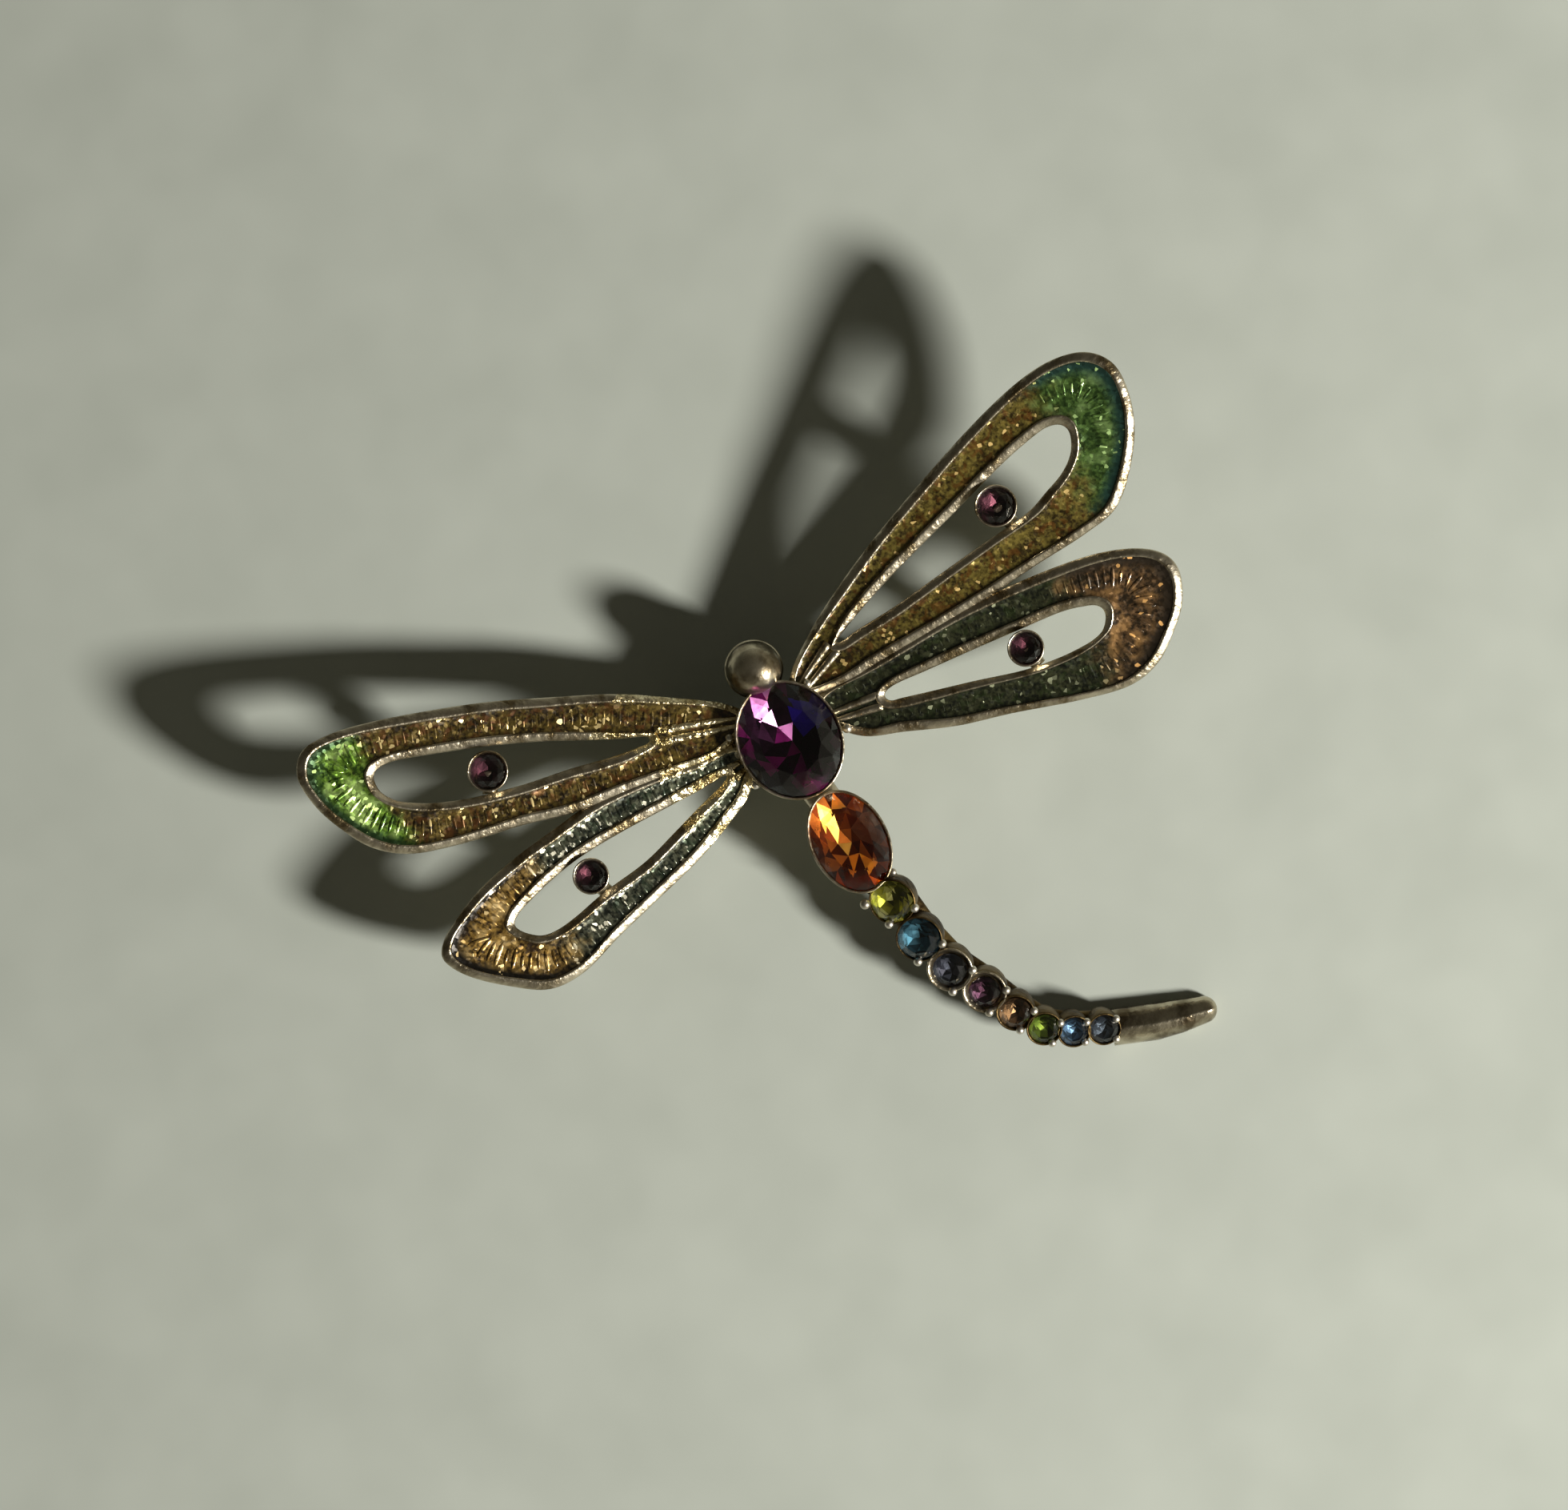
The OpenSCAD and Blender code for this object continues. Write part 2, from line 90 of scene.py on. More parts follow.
OUTER_RIM, INNER_RIM, RIM_HEIGHT, WING_DEPTH = 0.88, 0.84, 0.6, 1.45
# Share of a rim's width from its edge away from the channel to its crest
CREST = 0.72
# The enamel's underside and its top beside the rims, how far it climbs under them, and its steps across
ENAMEL_LOW, ENAMEL_HIGH, ENAMEL_TUCK, ENAMEL_STEPS = -0.56, -0.24, 0.15, 12
# Steps of the wings' spline from one row to the next, and the longest rib
STEPS, LONGEST_RIB = 9, 1.5
# How far out the left wings' coarse roots, paler as a painted highlight, reach
COARSE_PAINTED_HIGHLIGHT_ROOT = 9.5

# Columns: centre x, centre y, stone radius, stem's foot x, stem's foot y
WING_STONES = {
    "right_fore": (20.8, 7.9, 1.3, 21.3, 6.25),
    "right_hind": (17.9, -2.1, 1.1, 18.2, -3.6),
    "left_fore": (-20.3, 8.4, 1.25, -20.9, 6.9),
    "left_hind": (-17.35, -1.75, 1.08, -16.9, -3.25),
}
# Columns: centre x, centre y, girdle's height, stone radius, width of the cup's lip that shows
TAIL = [
    (0.85, -13.6, 5.6, 1.48, 0.14), (1.3, -16.9, 5.1, 1.48, 0.14), (2.2, -19.9, 4.6, 1.44, 0.42),
    (3.65, -22.5, 4.15, 1.38, 0.44), (4.9, -24.9, 3.7, 1.18, 0.24), (6.2, -26.9, 3.3, 1.08, 0.2),
    (8.0, -28.1, 2.9, 1.0, 0.18), (10.0, -29.0, 2.6, 1.0, 0.16),
]
TAIL_ROLL = 20
# Columns: centre x, centre y, width across, height
TAIL_TIP = [
    (10.6, -29.2, 2.7, 2.1), (13.5, -30.3, 2.7, 1.95), (15.3, -30.8, 2.45, 1.75), (17.0, -31.2, 2.0, 1.55),
]
# Steps along the tail's tip, and round its blunt end
TIP_STEPS, END_STEPS = 24, 8
# Columns: centre x and y, cup's width and length, underside, rim, stone's depth under its girdle
OVALS = {
    "thorax": (-0.15, 0.12, 7.6, 8.9, 3.7, 6.6, 2.1),
    "abdomen": (0.2, -8.37, 5.65, 7.9, 3.2, 5.9, 1.6),
}
# Columns: seed, foil's painted share of light, the spot of its painted flash, its second painted tint's spot,
# spread of the flash
OVAL_PAINTED_FLASH = {
    "thorax": (384, 0.3, (-0.05, 0.5), (0.6, 0.25), 0.55),
    "abdomen": (7, 0.4, (0.0, 0.5), (0.58, 0.05), 0.5),
}
# Beads of solder at the wings' roots and at the tail end of the abdomen's cup. Columns: x, y, z, radius
SOLDER_BEADS = [
    (-3.8, -1.55, 5.6, 0.36), (-3.9, 2.3, 5.6, 0.3), (3.9, -1.1, 5.6, 0.36), (-3.7, 0.9, 5.6, 0.3),
    (2.9, 3.1, 5.6, 0.3), (-0.95, -12.85, 5.55, 0.38), (1.9, -11.75, 5.55, 0.28),
]
# Foot of the head, its dome's radius, how far its flange stands out, where the dome springs over the foot
HEAD = Vector((0.0, 5.85, 3.7))
HEAD_RADIUS, HEAD_FLANGE, HEAD_SPRING = 2.0, 0.13, 2.1
ROUND_WALL, OVAL_WALL, STONE_GAP, GIRDLE_UNDER_RIM = 0.2, 0.18, 0.04, 0.12
WING_STONE_LIP = 0.2
# Faces round a round cup, an oval cup and the head
ROUND_SIDES, OVAL_SIDES, HEAD_SIDES = 48, 96, 72
# Cut of a stone: its crown's height in its smaller radius, table and star points in its radii, star points'
# height in the crown's, and a round stone's depth in its radius
CROWN, TABLE, STAR, STAR_HEIGHT, ROUND_DEPTH = 0.36, 0.6, 0.84, 0.5, 0.7
# Turn, in degrees, that keeps the star facets from throwing the lamp straight up
GEM_TURN = 17
# How much one foiled facet's painted share of light differs from the next, and the reach of the second
# painted tint
FOIL_SWING, SECOND_REACH = 0.36, 0.3
# From the brooch towards the lamp
LAMP = Vector((0.6, -0.8, 0.62))
# Pin back: strip's length, width, thickness and top; pin's place, thickness, length and point; then the
# lengths of the hinge block and the catch, and the height of the catch's slot
STRIP, STRIP_TOP = (15.4, 3.0, 0.7), 3.67
PIN_Y, PIN_Z, PIN_D, PIN_L, PIN_POINT = 2.2, 1.3, 0.8, 14.2, 1.2
HINGE_L, CATCH_L, CATCH_SLOT = 2.6, 1.8, 1.2


def linear(code, alpha=1.0):
    """sRGB hex code as a linear colour."""
    parts = [int(code[i:i + 2], 16) / 255 for i in (1, 3, 5)]
    return tuple(p / 12.92 if p <= 0.04045 else ((p + 0.055) / 1.055) ** 2.4 for p in parts) + (alpha,)


def per_mm(size):
    """Texture scale on Object coordinates, which are metres, for a feature of that many millimetres."""
    return 1000.0 / size


def add(tree, kind, inputs=None, stops=(), **settings):
    """Adds a node. Settings are its properties, stops a ramp's colours, and each input takes a value or
    another node's output."""
    node = tree.nodes.new(kind)
    for key, value in settings.items():
        setattr(node, key, value)
    for key, value in (inputs or {}).items():
        if isinstance(value, bpy.types.NodeSocket):
            tree.links.new(value, node.inputs[key])
        else:
            node.inputs[key].default_value = value
    for i, (place, colour) in enumerate(stops):
        stop = node.color_ramp.elements[i] if i < 2 else node.color_ramp.elements.new(place)
        stop.position = place
        stop.color = colour
    return node


def new_material(name):
    """Empty node material and its tree."""
    mat = bpy.data.materials.new(name)
    mat.use_nodes = True
    mat.node_tree.nodes.clear()
    return mat, mat.node_tree


def plated_casting(name, ripple, dull, bright, roughest, smoothest, mirror=0.0):
    """Zinc-tin alloy, centrifugally cast, tumbled and plated with a pale bright coat.
    The casting's skin ripples every 0.6 mm under the plate, by that many millimetres, so its highlights
    break into beads. Hollows that the tumbling missed, some 2 mm wide, are duller and rougher. A mirror
    finish, given by its own roughness, lies under a haze of fine scratches."""
    mat, tree = new_material(name)
    where = add(tree, "ShaderNodeTexCoord").outputs["Object"]
    patches = add(tree, "ShaderNodeTexNoise", {"Vector": where, "Scale": per_mm(1.8), "Detail": 4.0})
    skin = add(tree, "ShaderNodeTexNoise", {"Vector": where, "Scale": per_mm(0.6), "Detail": 3.0})
    colour = add(tree, "ShaderNodeValToRGB", {"Fac": patches.outputs["Fac"]},
                 stops=[(0.36, linear(dull)), (0.62, linear(bright))])
    rough = add(tree, "ShaderNodeMapRange", {
        "Value": patches.outputs["Fac"], "From Min": 0.3, "From Max": 0.7,
        "To Min": roughest, "To Max": smoothest})
    uneven = add(tree, "ShaderNodeMapRange", {
        "Value": patches.outputs["Fac"], "From Min": 0.35, "From Max": 0.6, "To Min": 1.0, "To Max": 0.35})
    bump = add(tree, "ShaderNodeBump", {
        "Height": skin.outputs["Fac"], "Strength": uneven.outputs["Result"], "Distance": ripple * MM})
    plate = {"Base Color": colour.outputs["Color"], "Metallic": 1.0, "Normal": bump.outputs["Normal"]}
    shader = add(tree, "ShaderNodeBsdfPrincipled", {**plate, "Roughness": rough.outputs["Result"]})
    if mirror:
        clear = add(tree, "ShaderNodeBsdfPrincipled", {**plate, "Roughness": mirror})
        shader = add(tree, "ShaderNodeMixShader", {0: 0.5, 1: shader.outputs[0], 2: clear.outputs[0]})
    add(tree, "ShaderNodeOutputMaterial", {"Surface": shader.outputs[0]})
    return mat


def drawn_steel():
    """Steel wire and strip, drawn and barrel finished: satin, with fine lines along the brooch's width.
    The drawing lines are finer than the 0.12 mm here, which is as fine as shows."""
    mat, tree = new_material("barrel-finished steel")
    where = add(tree, "ShaderNodeTexCoord").outputs["Object"]
    along = add(tree, "ShaderNodeMapping", {"Vector": where, "Scale": (0.06, 1.0, 1.0)})
    lines = add(tree, "ShaderNodeTexNoise", {
        "Vector": along.outputs["Vector"], "Scale": per_mm(0.12), "Detail": 2.0})
    rough = add(tree, "ShaderNodeMapRange", {"Value": lines.outputs["Fac"], "To Min": 0.22, "To Max": 0.4})
    bump = add(tree, "ShaderNodeBump", {
        "Height": lines.outputs["Fac"], "Strength": 0.3, "Distance": 0.01 * MM})
    shader = add(tree, "ShaderNodeBsdfPrincipled", {
        "Base Color": linear("#BDBBB4"), "Metallic": 1.0, "Roughness": rough.outputs["Result"],
        "Normal": bump.outputs["Normal"]})
    add(tree, "ShaderNodeOutputMaterial", {"Surface": shader.outputs[0]})
    return mat


# Enamel of each wing. Columns: arm's dark, light and stray tone, tip's dark and light, tip's outer band,
# painted glints on arm and tip, where along |x| the tip begins and is full, root's share of the tone, above 1
# a painted highlight
ENAMELS = {
    "right_fore": (
        "#3A2E12", "#8C7C3A", "#6A4014", "#2C441A", "#5C7C3A", "#2A4C42", "#DCBC78", "#A8C880",
        25.2, 28.4, 0.55),
    "right_hind": (
        "#161A10", "#44472F", "#2E3A1C", "#2E2416", "#74583A", "#3A3024", "#84886C", "#F0B870",
        20.5, 24.5, 0.7),
    "left_fore": (
        "#241A08", "#6C5A28", "#5A3614", "#264008", "#78A034", "#24401A", "#E0C88C", "#D8F49C",
        27.0, 28.8, 1.2),
    "left_hind": (
        "#181D16", "#5E604E", "#2E3A2A", "#30200A", "#AC8842", "#1A140A", "#F0ECD4", "#FFE0A0",
        19.5, 23.0, 1.9),
}
# How far the flakes in the glass turn out of its surface, and the share that stay dull, without the painted
# glint tone, at a wing's tip
FLAKE_TILT, DULL_FLAKES = 0.36, 0.93
# Columns: how far the ribs' middles stand over the enamel's edge, the share of their flakes that stay dull,
# without the painted glint tone, at the tip, and the share of all flakes that do on the arms
RIBS = {
    "right_fore": (-0.08, 0.95, 0.93),
    "right_hind": (-0.05, 0.84, 0.93),
    "left_fore": (-0.03, 0.5, 0.86),
    "left_hind": (0.0, 0.55, 0.72),
}


def fired_enamel(wing, crest):
    """Translucent glass enamel, fired over ribbed bright metal and stoned smooth.
    Metal flakes in the glass turn each their own way and glint, some in a painted glint tone, and the colour
    darkens along the rims where the glass pools thicker, with painted shade there too.
    Real flakes are about 0.1 mm, and are drawn at 0.26 mm, or 0.6 mm on the ribs, so that they show.
    Crest is the ribs' own tone, where the glass is thin: some ribs take the painted glint tone and others
    stay dull."""
    (arm_dark, arm_light, arm_stray, tip_dark, tip_light, tip_band, arm_painted_glint, tip_painted_glint,
     begins, full, root) = ENAMELS[wing]
    dull_ribs, dull_arm = RIBS[wing][1:]
    mat, tree = new_material(("enamelled rib " if crest else "fired enamel ") + wing.replace("_", " "))
    where = add(tree, "ShaderNodeTexCoord").outputs["Object"]

    # How much of the tip's colours shows, from the distance out along the wing, with a wavy border
    x = add(tree, "ShaderNodeSeparateXYZ", {"Vector": where}).outputs["X"]
    run = add(tree, "ShaderNodeMath", {0: x}, operation="ABSOLUTE")
    waver = add(tree, "ShaderNodeTexNoise", {"Vector": where, "Scale": per_mm(0.9), "Detail": 3.0})
    wavy = add(tree, "ShaderNodeMath", {
        0: waver.outputs["Fac"], 1: 4.0 * MM, 2: run.outputs[0]}, operation="MULTIPLY_ADD")
    tip = add(tree, "ShaderNodeMapRange", {
        "Value": wavy.outputs[0], "From Min": (begins + 2.0) * MM, "From Max": (full + 2.0) * MM},
        interpolation_type="SMOOTHSTEP").outputs["Result"]

    # Mottle of the glass, and flakes that take the painted glint tone more often where it is clouded
    grain = add(tree, "ShaderNodeTexNoise", {
        "Vector": where, "Scale": per_mm(0.3), "Detail": 3.0, "Roughness": 0.55})
    clouds = add(tree, "ShaderNodeTexNoise", {"Vector": where, "Scale": per_mm(1.5), "Detail": 2.0})
    mottle = add(tree, "ShaderNodeMix", {
        0: 0.35, 2: grain.outputs["Fac"], 3: clouds.outputs["Fac"]}).outputs[0]
    flakes = add(tree, "ShaderNodeTexVoronoi", {"Vector": where, "Scale": per_mm(0.6 if crest else 0.26)})
    dull = add(tree, "ShaderNodeMapRange", {
        "Value": tip, "To Min": dull_arm, "To Max": dull_ribs if crest else DULL_FLAKES})
    dull_here = add(tree, "ShaderNodeMapRange", {
        "Value": clouds.outputs["Fac"], "From Min": 0.66, "From Max": 0.5,
        "To Min": dull.outputs["Result"], "To Max": 0.98})

    # Colour of the arm with its stray patches, and of the tip with its pale patches, which are painted
    # highlights
    arm = add(tree, "ShaderNodeValToRGB", {"Fac": mottle},
              stops=[(0.41, linear(arm_dark)), (0.6, linear(arm_light))])
    end = add(tree, "ShaderNodeValToRGB", {"Fac": mottle},
              stops=[(0.41, linear(tip_dark)), (0.6, linear(tip_light))])
    strays = add(tree, "ShaderNodeTexNoise", {
        "Vector": where, "Scale": per_mm(0.7), "Detail": 3.0, "Distortion": 0.6})
    stray = add(tree, "ShaderNodeMapRange", {
        "Value": strays.outputs["Fac"], "From Min": 0.52, "From Max": 0.64, "To Max": 0.7})
    colour = add(tree, "ShaderNodeMix", {
        0: stray.outputs["Result"], 6: arm.outputs["Color"], 7: linear(arm_stray)},
        data_type="RGBA").outputs[2]
    pale = add(tree, "ShaderNodeMapRange", {
        "Value": clouds.outputs["Fac"], "From Min": 0.5, "From Max": 0.62, "To Max": 0.3})
    end = add(tree, "ShaderNodeMix", {
        0: pale.outputs["Result"], 6: end.outputs["Color"], 7: linear(tip_painted_glint)},
        data_type="RGBA").outputs[2]
    colour = add(tree, "ShaderNodeMix", {0: tip, 6: colour, 7: end}, data_type="RGBA").outputs[2]
    # Near the body the colour is scaled by the root share: darker on the right wings, lighter on the left as
    # a painted highlight
    root_tone_and_painted_highlight = add(tree, "ShaderNodeMapRange", {
        "Value": run.outputs[0], "From Min": 5.0 * MM, "From Max": 17.0 * MM, "To Min": root, "To Max": 1.0})
    colour = add(tree, "ShaderNodeMix", {
        0: 1.0, 6: colour, 7: root_tone_and_painted_highlight.outputs["Result"]}, data_type="RGBA", blend_type="MULTIPLY").outputs[2]
    if not crest:
        channel = add(tree, "ShaderNodeUVMap", uv_map="channel")
        across = add(tree, "ShaderNodeSeparateXYZ", {"Vector": channel.outputs["UV"]})
        band = add(tree, "ShaderNodeMapRange", {
            "Value": across.outputs["Y"], "From Min": 0.32, "From Max": 0.1})
        banded = add(tree, "ShaderNodeMath", {0: band.outputs["Result"], 1: tip}, operation="MULTIPLY")
        colour = add(tree, "ShaderNodeMix", {
            0: banded.outputs[0], 6: colour, 7: linear(tip_band)}, data_type="RGBA").outputs[2]
        # Darker along both rims: glass pooled thicker there, and painted shade at the rims' feet
        half, whole = (0.5, 0.5, 0.5, 1.0), (1.0, 1.0, 1.0, 1.0)
        pool_and_painted_shade = add(tree, "ShaderNodeValToRGB", {"Fac": across.outputs["Y"]},
                   stops=[(0.0, half), (1.0, half), (0.16, whole), (0.86, whole)])
        colour = add(tree, "ShaderNodeMix", {
            0: 1.0, 6: colour, 7: pool_and_painted_shade.outputs["Color"]}, data_type="RGBA", blend_type="MULTIPLY").outputs[2]

    # Painted glints: a share of the flakes take a pale glint tone, and every flake turns the surface its own
    # way
    lucky = add(tree, "ShaderNodeSeparateColor", {"Color": flakes.outputs["Color"]}).outputs[0]
    glint = add(tree, "ShaderNodeMath", {0: lucky, 1: dull_here.outputs["Result"]}, operation="GREATER_THAN")
    painted_glint_tone = add(tree, "ShaderNodeMix", {
        0: tip, 6: linear(arm_painted_glint), 7: linear(tip_painted_glint)}, data_type="RGBA").outputs[2]
    colour = add(tree, "ShaderNodeMix", {
        0: glint.outputs[0], 6: colour, 7: painted_glint_tone}, data_type="RGBA").outputs[2]
    turned = add(tree, "ShaderNodeVectorMath", {
        0: flakes.outputs["Color"], 1: (0.5, 0.5, 0.5)}, operation="SUBTRACT")
    surface = add(tree, "ShaderNodeNewGeometry")
    facing = add(tree, "ShaderNodeVectorMath", {
        0: turned.outputs[0], 1: (FLAKE_TILT,) * 3, 2: surface.outputs["Normal"]}, operation="MULTIPLY_ADD")
    normal = add(tree, "ShaderNodeVectorMath", {0: facing.outputs[0]}, operation="NORMALIZE")
    shader = add(tree, "ShaderNodeBsdfPrincipled", {
        "Base Color": colour, "Metallic": 0.6, "Roughness": 0.36, "Normal": normal.outputs[0],
        "Coat Weight": 0.8, "Coat Roughness": 0.06})
    add(tree, "ShaderNodeOutputMaterial", {"Surface": shader.outputs[0]})
    return mat


def cut_glass(name, tint):
    """Lead glass, ground and polished to flat facets: clear, coloured through, with hard reflections."""
    mat, tree = new_material("cut glass " + name)
    shader = add(tree, "ShaderNodeBsdfPrincipled", {
        "Base Color": linear(tint), "Transmission Weight": 1.0, "IOR": 1.58, "Roughness": 0.05})
    add(tree, "ShaderNodeOutputMaterial", {"Surface": shader.outputs[0]})
    return mat


def mirror_foil(name, dark, middle, bright, other, roughness):
    """Silver foil, vacuum-coated on a stone's back facets: it throws the light back in the stone's colour.
    Each facet's share of the light is painted in, as an attribute: bright facets are painted flashes, and a
    few take another tint as painted dispersion.
    The foil is worn in patches 0.8 mm wide."""
    mat, tree = new_material("foil behind " + name)
    painted_facet_light = add(tree, "ShaderNodeAttribute", attribute_name="painted_facet_light")
    colour = add(tree, "ShaderNodeValToRGB", {"Fac": painted_facet_light.outputs["Fac"]}, stops=[
        (0.0, linear(dark)), (1.0, linear(other)), (0.4, linear(dark)), (0.52, linear(middle)),
        (0.7, linear(middle)), (0.76, linear(bright)), (0.92, linear(bright)), (0.95, linear(other))])
    where = add(tree, "ShaderNodeTexCoord").outputs["Object"]
    worn = add(tree, "ShaderNodeTexNoise", {"Vector": where, "Scale": per_mm(0.8)})
    rough = add(tree, "ShaderNodeMapRange", {
        "Value": worn.outputs["Fac"], "To Min": roughness - 0.1, "To Max": roughness + 0.1})
    shader = add(tree, "ShaderNodeBsdfPrincipled", {
        "Base Color": colour.outputs["Color"], "Metallic": 1.0, "Roughness": rough.outputs["Result"]})
    add(tree, "ShaderNodeOutputMaterial", {"Surface": shader.outputs[0]})
    return mat


def in_scene(name, data):
    """New object with that data, linked into the scene."""
    thing = bpy.data.objects.new(name, data)
    bpy.context.collection.objects.link(thing)
    return thing


def new_piece(name, points, faces, kinds, materials, slot, smooth=True):
    """Makes a piece from points in millimetres around the thorax, and lets it ride with the brooch.
    Kinds number each face's material; an empty list stands for the first one everywhere."""
    mesh = bpy.data.meshes.new(name)
    mesh.from_pydata([(Vector(p) - MIDDLE) * MM for p in points], [], faces)
    piece = in_scene(name, mesh)
    for mat in materials:
        mesh.materials.append(mat)
    if kinds:
        mesh.polygons.foreach_set("material_index", kinds)
    work = bmesh.new()
    work.from_mesh(mesh)
    bmesh.ops.recalc_face_normals(work, faces=work.faces)
    work.to_mesh(mesh)
    work.free()
    mesh.polygons.foreach_set("use_smooth", [smooth] * len(mesh.polygons))
    mesh.update()
    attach(piece, "root")
    return piece


def joined_rings(rings, closed_path=False):
    """Points and faces over rings of equal size; the path either closes on itself or ends in caps."""
    n, m = len(rings), len(rings[0])
    faces = []
    for i in range(n if closed_path else n - 1):
        for j in range(m):
            a, b = i * m + j, i * m + (j + 1) % m
            c, d = ((i + 1) % n) * m + (j + 1) % m, ((i + 1) % n) * m + j
            faces.append((a, b, c, d))
    if not closed_path:
        faces += [tuple(range(m - 1, -1, -1)), tuple((n - 1) * m + j for j in range(m))]
    return [p for ring in rings for p in ring], faces


def spline_loop(rows, steps):
    """Closed spline through a table's rows, for every column at once."""
    n, out = len(rows), []
    for i in range(n):
        a, b, c, d = (rows[(i + k) % n] for k in (-1, 0, 1, 2))
        for k in range(steps):
            t = k / steps
            out.append(tuple(0.5 * (2 * q + (r - p) * t + (2 * p - 5 * q + 4 * r - s) * t * t
                                    + (3 * q - p - 3 * r + s) * t ** 3) for p, q, r, s in zip(a, b, c, d)))
    return out


def wing_top(x, y):
    """Height of the wings' upper side over a place, as in the part's source."""
    out = max(0.0, abs(x) - 3) / 30
    rise = 4.4 + 0.145 * y if x > 0 else 2.6 + 0.09 * y
    return 5.4 + rise * out ** 1.15


def across_row(row, wing):
    """Start, direction and width of a wing's section at a row, and how far the wing lies under wing_top."""
    start, end = Vector(row[:2]), Vector(row[2:])
    return start, (end - start).normalized(), (end - start).length, HIND_DROP if "hind" in wing else 0.0


def placed(row, wing, section):
    start, step, width, drop = across_row(row, wing)
    out = []
    for d, h in section(width):
        p = start + step * d
        out.append(Vector((p.x, p.y, wing_top(p.x, p.y) - drop + h)))
    return out


def half_round(d0, d1, count, dip):
    """Half-round rim's section from d0 to d1, standing up from dip below the wing's top."""
    mid, half = (d0 + d1) / 2, (d1 - d0) / 2
    turns = [math.pi * k / count for k in range(count + 1)]
    return [(mid - half * math.cos(turn), dip * (math.sin(turn) - 1)) for turn in turns]


def rim_round(outer, inner):
    """A rim's section: a wide flank falls outward from its crest, and a steep one falls into the channel.
    Each pair is the share of the way from the crest to the edge, and how far the metal has fallen there."""
    crest = outer + (inner - outer) * CREST
    flank = [(1.0, 0.4), (0.985, 0.345), (0.94, 0.3), (0.82, 0.235), (0.66, 0.17), (0.5, 0.112),
             (0.34, 0.062), (0.2, 0.025), (0.08, 0.005)]
    steep = [(0.15, 0.01), (0.45, 0.09), (0.7, 0.22), (0.9, 0.38), (1.0, RIM_HEIGHT)]
    return ([(crest + (outer - crest) * a, -h) for a, h in flank]
            + [(crest + (inner - crest) * a, -h) for a, h in steep])


def rim_section(width):
    """Round the wing's arm: outer rim, channel, inner rim, side, underside, side."""
    return (rim_round(0.0, OUTER_RIM) + rim_round(width, width - INNER_RIM)[::-1]
            + [(width - 0.02, -1.15), (width - 0.1, -1.36), (width - 0.26, -WING_DEPTH),
               (0.28, -WING_DEPTH), (0.1, -1.36), (0.02, -1.15)])


def inner_wedge(wing, row):
    """The arms' inner rims run on side by side from the opening to the body, with a groove between them."""
    start, step, width, drop = across_row(row, wing)
    steps = 12
    path = []
    for k in range(steps + 1):
        p = start + step * (width - 0.5 - (width - 1.2) * k / steps)
        path.append(Vector((p.x, p.y, wing_top(p.x, p.y) - drop)))

    def section(i):
        half = 0.8 - 0.3 * i / steps
        ridges = half_round(-half, -0.06, 8, 0.4) + half_round(0.06, half, 8, 0.4)
        return ridges + [(half, -0.9), (-half, -0.9)]
    return swept(path, section)


def channel_share(k):
    """Share of the channel's width at a step across the enamel; the steps are shorter along the rims."""
    return (1 - math.cos(math.pi * k / ENAMEL_STEPS)) / 2


def enamel_section(width):
    """The enamel in the channel: its edges climb the rims, as glass does where it wets metal."""
    low, high = OUTER_RIM - ENAMEL_TUCK, width - INNER_RIM + ENAMEL_TUCK
    top = []
    for k in range(ENAMEL_STEPS + 1):
        s = channel_share(k)
        top.append((low + (high - low) * s, ENAMEL_HIGH + 0.03 + 0.12 * abs(2 * s - 1) ** 5))
    return top + [(high, ENAMEL_LOW), (low, ENAMEL_LOW)]


